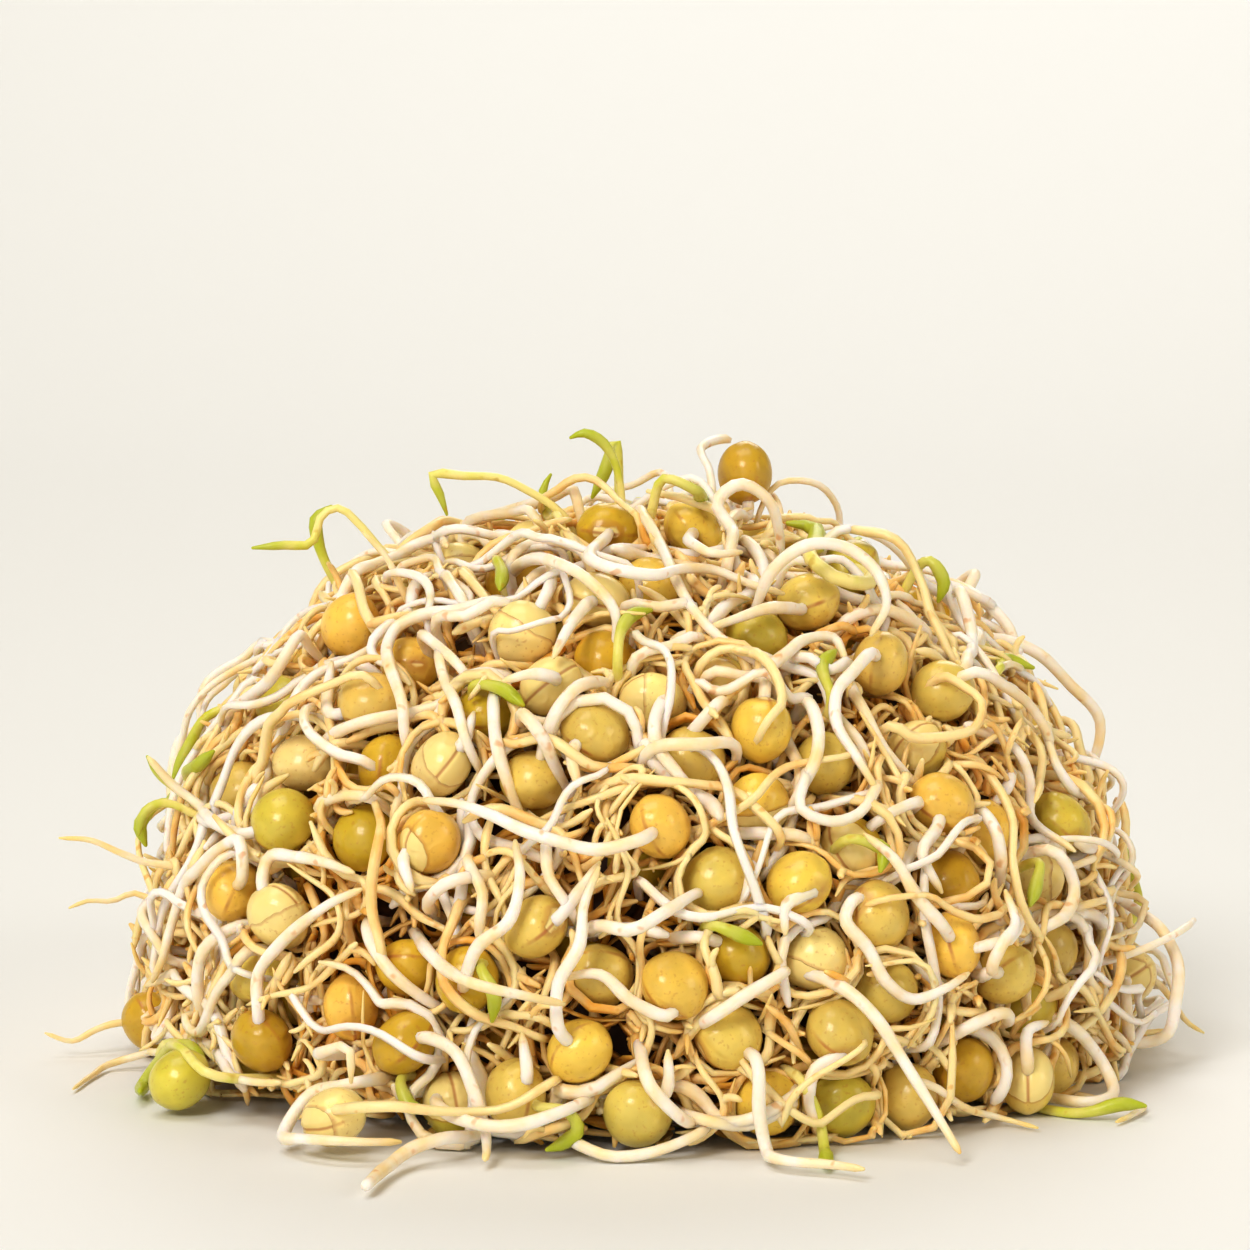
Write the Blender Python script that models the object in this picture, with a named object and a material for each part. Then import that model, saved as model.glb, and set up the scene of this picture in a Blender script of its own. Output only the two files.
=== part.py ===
"""A heap of lentil sprouts, in metres, +Z up, with the middle of its foot at the origin.

Each sprout is one grown piece: a swollen lentil with a white shoot coming out of its rim. The sprouts
that lie outermost are solids of their own. The rest of the heap is one matted tangle: a dense middle,
with lentils, shoots and roots standing out of it on all sides.
"""

import math
import random

import bpy
import numpy as np

# Driving sizes of a sprout
LENTIL_ACROSS = 0.0070
LENTIL_THICK = 0.0060
SHOOT_THICK = 0.0016
ROOT_THICK = 0.0010
TIP_SHARE = 0.55

# Driving sizes of the heap. Its outside is a dome whose upright outline is a superellipse
HEAP_WIDTH = 0.115
HEAP_LENGTH = 0.122
HEAP_HEIGHT = 0.062
HEAP_POWER = 2.2

# How deep the middles of things lie under that outside
LENTIL_DEPTH = 0.0020
BURIED_DEPTH = 0.0043
ROOT_DEPTH = 0.0035
ROOT_END_DEPTH = 0.0095
MIDDLE_DEPTH = 0.0061

# Clearance between solids, the length of one straight stretch of a shoot or root, how often a stem that
# still runs into a sprout is lifted again, and how far from a path things may stand in its way
GAP = 0.00034
CLOSE_ENOUGH = 0.00002
STRETCH = 0.0040
SHORTEST_STRETCH = 0.0016
SHARPEST_BEND = math.radians(105.0)
FOLDED = math.radians(125.0)
SAMPLE = 0.0006
RELIFTS = 5
REACH = 0.020

# Facets. A lentil's two rings lie this far round from its rim, and its corners this much outside it
LENTIL_SIDES = 8
BURIED_SIDES = 6
RING_RISE = math.radians(27.0)
CORNER = 1.06
LENTIL_TILT = 0.45
SHOOT_SIDES = 4
STEM_SIDES = 3
MIDDLE_SIDES = 28
MIDDLE_RINGS = 9

# Counts, spacing and lengths of what is placed by rule over the sides that face away from the eye
BACK_SPROUTS = 19
BACK_BURIED = 80
BACK_SHOOTS = 27
BACK_SPACING = 0.0093
TURNED_AWAY = 0.12
BACK_SHOOT_LENGTHS = (0.016, 0.032)
ROOT_LOOPS = 17
ROOT_LENGTHS = (0.020, 0.038)
FREE_LEVEL = 1.10
SEED = 7

# Linear colours of the lentils' coats, and of the tangle
COATS = {
    "amber": (0.74, 0.43, 0.08),
    "khaki": (0.48, 0.33, 0.08),
    "olive": (0.32, 0.24, 0.05),
    "green": (0.46, 0.45, 0.05),
    "pale": (0.77, 0.65, 0.20),
}
COAT_ROUGHNESS = 0.32
TANGLE_COLOUR = (0.90, 0.80, 0.58)
TANGLE_ROUGHNESS = 0.40

# Where the photograph was taken from, its square frame in pixels, and the size of a pixel at the heap
FRAME = 1250
EYE_DISTANCE = 0.52
EYE_RISE = math.radians(11.0)
AIM_HEIGHT = 0.048
AIM_SIDE = -0.0016
PIXEL = 0.000113

# The outer sprouts, in pixels: the coat of the lentil, its place, then the way its shoot runs from there
OUTER_SPROUTS = [
    ("olive", (610, 531),
     [(607, 567), (634, 573), (664, 575), (690, 567), (728, 574), (760, 588), (784, 594)]),
    ("olive", (598, 604), [(578, 612), (570, 620), (565, 641), (553, 658)]),
    ("pale", (523, 634), [(538, 612), (545, 595), (552, 576), (549, 560)]),
    ("khaki", (808, 602), [(784, 592), (780, 606), (768, 622), (738, 636), (710, 628)]),
    ("pale", (555, 691), [(589, 697), (584, 684), (573, 668), (551, 660), (530, 665), (503, 681)]),
    ("khaki", (589, 723), [(574, 740), (572, 757), (574, 775), (580, 792)]),
    ("amber", (764, 732),
     [(765, 700), (763, 680), (777, 662), (800, 644), (819, 634), (838, 640), (846, 661)]),
    ("pale", (446, 760), [(463, 743), (470, 728), (474, 712)]),
    ("khaki", (372, 704), [(352, 715), (335, 730), (331, 708), (328, 684), (332, 662)]),
    ("amber", (351, 625),
     [(341, 600), (343, 583), (358, 571), (390, 560), (407, 549), (428, 540), (447, 547)]),
    ("green", (283, 821), [(255, 832), (230, 831), (208, 817), (194, 800), (165, 778), (148, 757)]),
    ("amber", (430, 842), [(440, 822), (425, 806), (408, 820), (404, 845), (407, 870), (412, 892)]),
    ("amber", (233, 891),
     [(245, 855), (236, 838), (208, 861), (185, 884), (174, 915), (166, 948), (152, 982)]),
    ("pale", (276, 920),
     [(269, 891), (258, 881), (261, 864), (283, 857), (314, 860), (340, 867), (354, 873)]),
    ("olive", (261, 1037),
     [(258, 1010), (254, 990), (261, 968), (281, 943), (303, 923), (331, 903), (362, 889)]),
    ("olive", (146, 1021),
     [(120, 1022), (134, 1041), (157, 1055), (191, 1063), (224, 1075), (253, 1083), (281, 1083)]),
    ("green", (180, 1079),
     [(157, 1077), (157, 1060), (168, 1049), (188, 1051), (202, 1066), (204, 1085)]),
    ("olive", (464, 980),
     [(463, 1000), (465, 975), (473, 951), (498, 937), (515, 906), (520, 873), (515, 840)]),
    ("khaki", (544, 933), [(550, 925), (571, 903), (588, 878), (600, 862)]),
    ("amber", (683, 990),
     [(676, 1013), (660, 1016), (633, 1002), (604, 976), (576, 971), (560, 978)]),
    ("amber", (567, 1052),
     [(563, 1040), (556, 1005), (562, 974), (576, 954), (585, 920), (585, 887), (599, 867)]),
    ("olive", (415, 1056),
     [(432, 1038), (447, 1041), (464, 1072), (478, 1103), (485, 1131), (485, 1163)]),
    ("khaki", (517, 1086), [(515, 1105), (524, 1090), (527, 1060), (522, 1033)]),
    ("khaki", (637, 1114), [(662, 1100), (668, 1085), (660, 1068), (668, 1050)]),
    ("amber", (664, 830),
     [(640, 838), (628, 846), (604, 850), (576, 845), (537, 836), (500, 819), (464, 805), (422, 800)]),
    ("amber", (807, 895), [(820, 885), (797, 900), (778, 914), (785, 935)]),
    ("khaki", (865, 918),
     [(845, 900), (842, 912), (858, 932), (873, 957), (888, 984), (909, 999), (933, 994), (969, 973)]),
    ("amber", (960, 937), [(945, 928), (924, 909), (909, 882), (891, 855), (864, 834)]),
    ("khaki", (1002, 972), [(985, 950), (1003, 945), (1018, 932), (1018, 912), (1005, 890)]),
    ("amber", (943, 814), [(932, 835), (922, 842), (927, 867), (942, 893)]),
    ("khaki", (880, 664),
     [(872, 650), (866, 663), (845, 678), (834, 709), (843, 739), (864, 766), (877, 790)]),
    ("khaki", (942, 692), [(962, 672), (966, 660), (972, 634), (966, 607), (951, 596)]),
    ("green", (1060, 826),
     [(1083, 846), (1100, 846), (1106, 825), (1092, 801), (1062, 778), (1050, 745), (1035, 709)]),
    ("khaki", (842, 1042),
     [(860, 1030), (872, 1041), (842, 1053), (816, 1068), (807, 1092), (812, 1112), (824, 1140)]),
    ("khaki", (1037, 1084), [(1027, 1062), (1021, 1045), (1030, 1030), (1048, 1022)]),
    ("pale", (1137, 975),
     [(1128, 1002), (1140, 1044), (1161, 1041), (1173, 1017), (1177, 984), (1177, 957), (1164, 933),
      (1134, 909), (1098, 891)]),
    ("green", (849, 568),
     [(870, 580), (852, 584), (822, 571), (810, 553), (811, 529), (802, 513), (787, 523)]),
    ("olive", (745, 474), [(748, 500), (735, 515), (722, 530)]),
    ("amber", (693, 531), [(706, 550), (722, 556), (742, 552)]),
]

# Lentils that show but lie further in, matted into the tangle, in pixels
BURIED_LENTILS = [
    (740, 539), (516, 580), (374, 589), (648, 588), (597, 660), (652, 705), (707, 692), (756, 638),
    (697, 751), (502, 722), (535, 780), (757, 805), (383, 764), (307, 763), (240, 792), (284, 705),
    (181, 835), (368, 828), (272, 968), (359, 1003), (415, 981), (334, 1117), (596, 1002), (466, 1089),
    (707, 884), (731, 960), (731, 1033), (773, 1061), (852, 876), (840, 957), (849, 1008), (831, 1110),
    (927, 1105), (973, 1080), (1083, 1071), (984, 832), (939, 873), (1041, 876), (1047, 927), (1017, 1026),
    (918, 764), (910, 617), (802, 757), (407, 671),
]

# Shoots whose lentils are out of sight, from one end to the other, in pixels
LOOSE_SHOOTS = [
    [(731, 545), (727, 521), (714, 503), (722, 487), (740, 482), (760, 490), (775, 508), (781, 530)],
    [(640, 510), (653, 531), (667, 558), (677, 582), (699, 617), (720, 638), (747, 657), (768, 670)],
    [(447, 520), (468, 531), (500, 542), (525, 550), (538, 585), (551, 604), (566, 622)],
    [(500, 585), (487, 604), (460, 612), (420, 612), (396, 622), (385, 641), (396, 684), (415, 732)],
    [(479, 646), (471, 676), (472, 708), (487, 746), (503, 775), (509, 802)],
    [(511, 692), (525, 716), (546, 735), (568, 748)],
    [(616, 638), (625, 695), (628, 722), (626, 746), (610, 775), (589, 794), (554, 795), (514, 786)],
    [(677, 671), (661, 689), (648, 719), (645, 743), (653, 767), (672, 786), (696, 794)],
    [(662, 741), (688, 745), (715, 743), (734, 735)],
    [(688, 719), (715, 717), (739, 703), (750, 687)],
    [(413, 889), (450, 881), (478, 870)],
    [(380, 915), (402, 937), (430, 941), (464, 929), (487, 937), (498, 954), (531, 988)],
    [(593, 920), (618, 936), (649, 929), (672, 904), (697, 889)],
    [(678, 954), (703, 940), (734, 936)],
    [(694, 805), (717, 825), (753, 842), (787, 853), (818, 866), (850, 860), (867, 840)],
    [(769, 831), (767, 859), (756, 892), (748, 920)],
    [(425, 1108), (464, 1122), (501, 1131), (548, 1117), (588, 1103)],
    [(574, 1142), (593, 1153), (627, 1156), (663, 1149), (694, 1136)],
    [(700, 1122), (731, 1125), (773, 1111), (800, 1100)],
    [(759, 1075), (759, 1111), (765, 1145), (781, 1162), (810, 1168), (840, 1170), (864, 1174)],
    [(719, 1013), (742, 999), (762, 982), (778, 976)],
    [(366, 1191), (393, 1164), (420, 1142), (445, 1134), (475, 1125)],
    [(786, 939), (804, 972), (831, 999), (861, 1020), (888, 1038), (900, 1059), (921, 1089),
     (945, 1113), (963, 1134), (960, 1158)],
    [(1059, 1005), (1080, 1029), (1101, 1059), (1119, 1083), (1116, 1103), (1098, 1112), (1062, 1112)],
    [(954, 1041), (975, 1023), (1002, 1008), (1029, 1002)],
    [(852, 601), (879, 607), (906, 619), (933, 625)],
    [(813, 517), (828, 515), (849, 532), (879, 544), (900, 547), (913, 534), (915, 552), (913, 580)],
    [(972, 690), (966, 724), (967, 760), (966, 787)],
    [(281, 671), (303, 668), (335, 657), (362, 646), (388, 641), (420, 638)],
    [(201, 732), (228, 711), (254, 695), (271, 684), (284, 657), (303, 630), (316, 612)],
    [(216, 915), (202, 948), (196, 982), (191, 1018)],
    [(261, 999), (238, 1007), (213, 1018), (191, 1030), (168, 1047)],
    [(340, 1086), (314, 1092), (292, 1108), (283, 1122), (323, 1140), (365, 1142), (401, 1142)],
    [(351, 915), (365, 937), (379, 960), (401, 988), (420, 1004)],
    [(972, 786), (996, 810), (1002, 834), (987, 867), (1017, 870), (1035, 891)],
    [(1059, 855), (1074, 882), (1071, 906), (1050, 925)],
    [(813, 700), (820, 730), (816, 760), (804, 784)],
    [(656, 1075), (663, 1103), (677, 1134), (697, 1150), (717, 1157)],
    [(365, 1069), (384, 1086), (404, 1100), (425, 1090)],
    [(323, 1052), (331, 1041), (348, 1047), (356, 1066), (351, 1083)],
]

# Thin roots and a first leaf stalk that stand off the heap, from where they leave it to their tips
THIN_ENDS = [
    [(622, 505), (619, 478), (613, 458), (600, 440), (583, 433), (570, 438)],
    [(560, 512), (530, 492), (500, 478), (465, 476), (432, 476), (440, 495), (447, 515)],
    [(390, 560), (377, 545), (355, 520), (340, 508), (325, 512), (310, 544), (285, 545), (252, 548)],
    [(175, 866), (145, 862), (121, 853), (90, 840), (59, 838)],
    [(160, 905), (146, 897), (135, 893), (112, 901), (87, 901), (69, 908)],
    [(130, 1022), (112, 1024), (95, 1030), (73, 1041), (45, 1033)],
    [(160, 1052), (137, 1056), (110, 1064), (93, 1075), (73, 1089)],
    [(1000, 668), (1020, 668), (1036, 680), (1058, 689)],
    [(1098, 1100), (1116, 1105), (1140, 1105), (1132, 1115), (1116, 1122)],
    [(190, 800), (178, 790), (161, 775), (147, 756)],
    [(190, 812), (172, 804), (157, 804), (146, 811), (138, 836)],
    [(1090, 860), (1107, 855), (1128, 866), (1130, 890)],
    [(1085, 905), (1105, 900), (1128, 895), (1145, 900), (1142, 916), (1122, 934), (1105, 940)],
    [(1160, 985), (1172, 1000), (1188, 1023), (1204, 1033)],
    [(940, 1090), (960, 1105), (1005, 1119), (1038, 1128)],
    [(560, 520), (546, 508), (543, 490), (551, 474)],
    [(400, 585), (385, 555), (362, 532)],
]


def unit(vectors):
    """The same directions with length 1."""
    return vectors / np.maximum(np.linalg.norm(vectors, axis=-1, keepdims=True), 1e-12)


def heap_level(points, depth=0.0):
    """1 on the dome that lies depth under the heap's outside, less inside it and more beyond it.
    The depth is one number, or one for each point."""
    side = points[..., 0] / (HEAP_WIDTH / 2 - depth)
    deep = points[..., 1] / (HEAP_LENGTH / 2 - depth)
    up = np.abs(points[..., 2]) / (HEAP_HEIGHT - depth)
    return (np.hypot(side, deep) ** HEAP_POWER + up**HEAP_POWER) ** (1 / HEAP_POWER)


def outward(points):
    """The way out of the heap at each point: the slope of its level, or up for what lies beside it."""
    side = points[..., 0] / (HEAP_WIDTH / 2)
    deep = points[..., 1] / (HEAP_LENGTH / 2)
    steep = (np.hypot(side, deep) + 1e-9) ** (HEAP_POWER - 2)
    up = (np.abs(points[..., 2]) / HEAP_HEIGHT) ** (HEAP_POWER - 1) / HEAP_HEIGHT
    slope = np.stack([steep * side / (HEAP_WIDTH / 2), steep * deep / (HEAP_LENGTH / 2), up], -1)
    beside = np.clip((heap_level(points) - 1.03) / 0.04, 0, 1) * np.clip(2 - points[..., 2] / 0.003, 0, 1)
    return unit(unit(slope) * (1 - beside[..., None]) + np.array([0, 0, 1.0]) * beside[..., None])


def toward_eye(points):
    """The way to the eye from each point."""
    return unit(view_axes()[0] - points)


def at_depth(points, depth):
    """Each point moved in or out along its own radius until it lies depth under the heap's outside."""
    return points / heap_level(points, depth)[..., None]


def view_axes():
    """The eye's place, and its forward, right and up directions."""
    eye = np.array([AIM_SIDE, -EYE_DISTANCE * math.cos(EYE_RISE), EYE_DISTANCE * math.sin(EYE_RISE)])
    forward = unit(np.array([AIM_SIDE, 0, AIM_HEIGHT]) - eye)
    right = np.array([1.0, 0, 0])
    return eye, forward, right, unit(np.cross(right, forward))


def sight_line(pixel, lowest):
    """Points along the ray of a pixel, those above the lowest height."""
    eye, forward, right, up = view_axes()
    focal = np.linalg.norm(np.array([AIM_SIDE, 0, AIM_HEIGHT]) - eye) / PIXEL
    ray = unit(forward * focal + right * (pixel[0] - FRAME / 2) + up * (FRAME / 2 - pixel[1]))
    points = eye + ray * np.arange(0.40, 0.64, 0.0001)[:, None]
    return points[points[:, 2] > lowest]


def seen(pixel, depth, lowest):
    """The point that a pixel shows: where its ray meets the dome at that depth, or for a ray that
    passes the dome by, where it comes nearest to it."""
    points = sight_line(pixel, lowest)
    level = heap_level(points, depth)
    met = level < 1
    return points[met.argmax() if met.any() else level.argmin()]


def traced(pixels, lowest, start=None):
    """The points that a row of pixels shows, on the heap's outside. A ray that passes the heap by shows
    the point nearest to the one found beside it, so a stem that leaves the heap doesn't jump away."""
    lines = [sight_line(pixel, lowest) for pixel in pixels]
    meets = [(heap_level(line) < 1).any() for line in lines]
    first = meets.index(True) if True in meets else 0
    if start is not None:
        first = 0
    found = {first: seen(pixels[first], 0.0, lowest)}
    if start is not None and not meets[0]:
        found[0] = lines[0][np.linalg.norm(lines[0] - start, axis=1).argmin()]
    for k in [*range(first - 1, -1, -1), *range(first + 1, len(pixels))]:
        beside = found[k + 1 if k < first else k - 1]
        apart = np.linalg.norm(lines[k] - beside, axis=1)
        found[k] = seen(pixels[k], 0.0, lowest) if meets[k] else lines[k][apart.argmin()]
    return [found[k] for k in range(len(pixels))]


def smooth_curve(points):
    """A cubic curve through the points, as vertices one stretch apart."""
    points = np.asarray(points, float)
    along = np.append(0, np.cumsum(np.linalg.norm(np.diff(points, axis=0), axis=1)))
    slope = np.gradient(points, along, axis=0)
    at = np.linspace(0, along[-1], 40 * len(points))
    i = np.clip(np.searchsorted(along, at, "right") - 1, 0, len(points) - 2)
    span = (along[i + 1] - along[i])[:, None]
    u = (at - along[i])[:, None] / span
    fine = (
        (2 * u**3 - 3 * u**2 + 1) * points[i]
        + (u**3 - 2 * u**2 + u) * span * slope[i]
        + (3 * u**2 - 2 * u**3) * points[i + 1]
        + (u**3 - u**2) * span * slope[i + 1]
    )
    length = np.append(0, np.cumsum(np.linalg.norm(np.diff(fine, axis=0), axis=1)))
    at = np.linspace(0, length[-1], max(2, round(length[-1] / STRETCH)) + 1)
    return np.stack([np.interp(at, length, fine[:, k]) for k in range(3)], 1)


def sampled(path):
    """Points close together along a path, and the share that each of its vertices has in them."""
    steps = math.ceil(STRETCH / SAMPLE)
    at = np.linspace(0, len(path) - 1, (len(path) - 1) * steps + 1)
    shares = np.clip(1 - np.abs(at[:, None] - np.arange(len(path))), 0, 1)
    return shares @ path, shares


def wander(rng, start, length, depth, bend):
    """A winding path over the heap at one depth. Its heading swings as the sum of two slow waves."""
    point = np.array(start, float)
    heading = unit(np.array([rng.gauss(0, 1) for _ in range(3)]))
    quick, slow = rng.uniform(-bend, bend), rng.uniform(-bend, bend)
    quick_start, slow_start = rng.uniform(0, 2 * math.pi), rng.uniform(0, 2 * math.pi)
    path = [point]
    for k in range(max(3, round(length / STRETCH))):
        way = outward(point)
        heading = unit(heading - way * (heading @ way))
        turn = quick * math.sin(0.8 * k + quick_start) + slow * math.sin(0.4 * k + slow_start)
        heading = heading * math.cos(turn) + np.cross(way, heading) * math.sin(turn)
        if point[2] < LENTIL_ACROSS:
            heading[2] = abs(heading[2])
        heading = unit(heading)
        point = at_depth(point + heading * STRETCH, depth)
        path.append(point)
    path = np.array(path)
    path[:, 2] = np.maximum(path[:, 2], ROOT_THICK)
    return path


def buried_end(point, beside):
    """A place in the dense middle, under the point but a little further on from its neighbour."""
    end = at_depth(point + (point - beside) * 0.6, ROOT_END_DEPTH)
    end[2] = max(end[2], ROOT_THICK)
    return end


def rooted(path, free_tip):
    """The path with its ends bent down into the dense middle. A tip that is free isn't, and of the two
    ends the outer one isn't if it lies well beyond the heap."""
    level = heap_level(path[[0, -1]])
    ends = [buried_end(path[0], path[1]), buried_end(path[-1], path[-2])]
    if free_tip or level[0] < max(FREE_LEVEL, level[1]):
        path = np.vstack([ends[0], path])
    if not free_tip and level[1] < max(FREE_LEVEL, level[0]):
        path = np.vstack([path, ends[1]])
    return path


def bends(path):
    """The angle by which the path turns at each of its inner vertices."""
    run = unit(np.diff(path, axis=0))
    return np.arccos(np.clip((run[:-1] * run[1:]).sum(1), -1, 1))


def without_kinks(path, fixed):
    """The path less the vertex where it folds most sharply, or where two of them nearly meet."""
    length = np.linalg.norm(np.diff(path, axis=0), axis=1)
    bend = bends(path)
    bend[np.minimum(length[:-1], length[1:]) < SHORTEST_STRETCH] = math.pi
    bend[: max(fixed - 1, 0)] = 0
    if len(path) < 4 or bend.max() < SHARPEST_BEND:
        return path
    return np.delete(path, bend.argmax() + 1, 0)


class Room:
    """The room that lentils, shoots and roots take up, as balls."""

    def __init__(self):
        self.centres = np.zeros((0, 3))
        self.radii = np.zeros(0)

    def add(self, centres, radius):
        """Takes up a ball round each centre."""
        self.centres = np.vstack([self.centres, centres])
        self.radii = np.append(self.radii, np.full(len(centres), radius))

    def without(self, centre):
        """The same room less the ball at this centre."""
        rest = Room()
        kept = np.linalg.norm(self.centres - centre, axis=1) > 1e-6
        rest.centres = self.centres[kept]
        rest.radii = self.radii[kept]
        return rest

    def near(self, path):
        """The same room less the balls that lie far from the path."""
        rest = Room()
        apart = np.maximum(path.min(0) - self.centres, self.centres - path.max(0)).max(1)
        rest.centres = self.centres[apart < REACH]
        rest.radii = self.radii[apart < REACH]
        return rest

    def lifted(self, path, radius, way_at):
        """The path raised in gentle humps, to pass over what lies there. It rises the way given for
        each point."""
        self = self.near(path)
        points, shares = sampled(path)
        way = way_at(points)
        to_ball = self.centres[None] - points[:, None]
        rise = np.einsum("ijk,ik->ij", to_ball, way)
        aside = np.maximum((to_ball**2).sum(-1) - rise**2, 0)
        reach = (self.radii + radius + GAP)[None]
        need = np.where(aside < reach**2, rise + np.sqrt(np.maximum(reach**2 - aside, 0)), -1)
        need = np.where(need < 1.2 * LENTIL_ACROSS, need, -1).max(1)
        apart = np.linalg.norm(points[:, None] - points[None], axis=-1)
        humps = np.maximum((need[None] - apart**2 / (2 * LENTIL_ACROSS)).max(1), 0)
        lift = np.where(shares > 0, humps[:, None], 0).max(0)
        return path + way_at(path) * lift[:, None]

    def cleared(self, path, radius, fixed):
        """The path pushed clear, and eased wherever that folds it sharply. The first fixed vertices
        stay."""
        self = self.near(path)
        for _ in range(12):
            path = self.pushed(path, radius, fixed)
            eased = without_kinks(path, fixed)
            if len(eased) == len(path):
                break
            path = eased
        return self.pushed(path, radius, fixed)

    def holds(self, path, radius):
        """Whether the room takes the path in with most of its clearance."""
        points, _ = sampled(path)
        far = np.linalg.norm(points[:, None] - self.centres[None], axis=-1)
        return (far - self.radii[None] - radius).min() > 0.6 * GAP

    def pushed(self, path, radius, fixed):
        """The path pushed aside, vertex by vertex, until it is clear."""
        path = path.copy()
        for _ in range(80):
            path[:, 2] = np.maximum(path[:, 2], radius + GAP)
            points, shares = sampled(path)
            apart = points[:, None] - self.centres[None]
            far = np.linalg.norm(apart, axis=-1)
            room = far - (self.radii + radius + GAP)[None]
            room[shares[:, fixed:].sum(1) < 0.5] = 1
            rows = np.arange(len(points))
            near = room.argmin(1)
            lack = np.maximum(-room[rows, near], 0)
            if lack.max() < CLOSE_ENOUGH:
                break
            push = apart[rows, near] / far[rows, near][:, None] * lack[:, None]
            moved = (shares * (lack > 0)[:, None]).sum(0)
            path[fixed:] += (shares.T @ push / np.maximum(moved, 0.3)[:, None])[fixed:] * 1.15
            middle = (path[:-2] + path[2:]) / 2 - path[1:-1]
            still = max(fixed, 1)
            path[still:-1] += middle[still - 1 :] * 0.12
        return path


def spread_apart(centres, depths, holds, apart):
    """Moves points over the heap until each pair is that far apart. The higher its hold, the less a
    point moves. Those on the heap keep their depth, and those beside it stay on the ground."""
    centres = centres.copy()
    on_heap = heap_level(centres) < 1.01
    give = 1.05 - holds
    share = give[:, None] / (give[:, None] + give[None])
    for _ in range(120):
        between = centres[:, None] - centres[None]
        far = np.linalg.norm(between, axis=-1) + np.eye(len(centres))
        lack = np.maximum(apart - far, 0) * (1 - np.eye(len(centres)))
        centres += (between / far[..., None] * (lack * share)[..., None]).sum(1) * 0.6
        centres[on_heap] /= heap_level(centres[on_heap], depths[on_heap])[:, None]
        centres[:, 2] = np.maximum(centres[:, 2], LENTIL_ACROSS / 2 + GAP)
    return centres


def back_places(rng, taken, count, lowest):
    """Places over the sides that face away from the eye, no closer together than the back spacing."""
    eye = view_axes()[0]
    found = []
    for _ in range(20000):
        turn = rng.uniform(0, 2 * math.pi)
        rise = math.asin(rng.uniform(0.02, 1))
        way = np.array([math.cos(rise) * math.cos(turn), math.cos(rise) * math.sin(turn), math.sin(rise)])
        point = at_depth(way, LENTIL_DEPTH)
        point[2] = max(point[2], lowest)
        if outward(point) @ unit(eye - point) > TURNED_AWAY:
            continue
        if np.linalg.norm(np.array([*taken, *found]) - point, axis=1).min() > BACK_SPACING:
            found.append(point)
            if len(found) == count:
                break
    return found


def place_lentils(rng):
    """Centres of the outer sprouts' lentils and of the buried ones, with no two of them touching."""
    lowest = LENTIL_ACROSS / 2 + GAP
    outer = [seen(pixel, LENTIL_DEPTH, lowest) for _, pixel, _ in OUTER_SPROUTS]
    buried = [seen(pixel, BURIED_DEPTH, lowest) for pixel in BURIED_LENTILS]
    behind = back_places(rng, outer + buried, BACK_SPROUTS + BACK_BURIED, lowest)
    outer += behind[:BACK_SPROUTS]
    buried += behind[BACK_SPROUTS:]
    centres = np.array(outer + buried)
    is_outer = np.arange(len(centres)) < len(outer)
    depths = np.where(is_outer, LENTIL_DEPTH, BURIED_DEPTH)
    holds = np.where(is_outer, 0.9, 0.4)
    centres = spread_apart(centres, depths, holds, LENTIL_ACROSS * CORNER + 2 * GAP)
    return centres[is_outer], centres[~is_outer]


def lay_sprout(rng, number, centre, room):
    """One outer sprout: its coat, its lentil's centre and flat way, and the path of its shoot."""
    if number < len(OUTER_SPROUTS):
        coat, _, pixels = OUTER_SPROUTS[number]
        shoot = smooth_curve([centre, *traced(pixels, SHOOT_THICK / 2, centre)])
        way_at = toward_eye
    else:
        coat = rng.choice(list(COATS))
        shoot = wander(rng, centre, rng.uniform(*BACK_SHOOT_LENGTHS), 0.0, 0.4)
        shoot[0] = centre
        way_at = outward
    others = room.without(centre)
    shoot[1:] = others.lifted(shoot, SHOOT_THICK / 2, way_at)[1:]
    shoot = others.cleared(shoot, SHOOT_THICK / 2, 1)
    flat_way = unit(outward(centre) + LENTIL_TILT * np.array([rng.gauss(0, 1) for _ in range(3)]))
    start_way = unit(shoot[1] - centre)
    flat_way = unit(flat_way - start_way * (flat_way @ start_way))
    return {"coat": coat, "centre": centre, "flat_way": flat_way, "shoot": shoot}


def stem_routes(rng, outer):
    """Routes of the tangle's shoots and roots before they are bent clear, with their thickness, the way
    that they are lifted, and whether their tips are free."""
    routes = []
    for pixels in LOOSE_SHOOTS:
        routes.append((smooth_curve(traced(pixels, SHOOT_THICK / 2)), SHOOT_THICK, toward_eye, False))
    for pixels in THIN_ENDS:
        routes.append((smooth_curve(traced(pixels, ROOT_THICK / 2)), ROOT_THICK, toward_eye, True))
    for start in back_places(rng, outer[:1], BACK_SHOOTS, SHOOT_THICK):
        length = rng.uniform(*BACK_SHOOT_LENGTHS)
        routes.append((wander(rng, start, length, 0.0, 0.4), SHOOT_THICK, outward, False))
    for start in back_places(rng, outer[:1], ROOT_LOOPS, ROOT_THICK):
        route = wander(rng, start, rng.uniform(*ROOT_LENGTHS), ROOT_DEPTH, 0.9)
        routes.append((route, ROOT_THICK, outward, False))
    return routes


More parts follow.
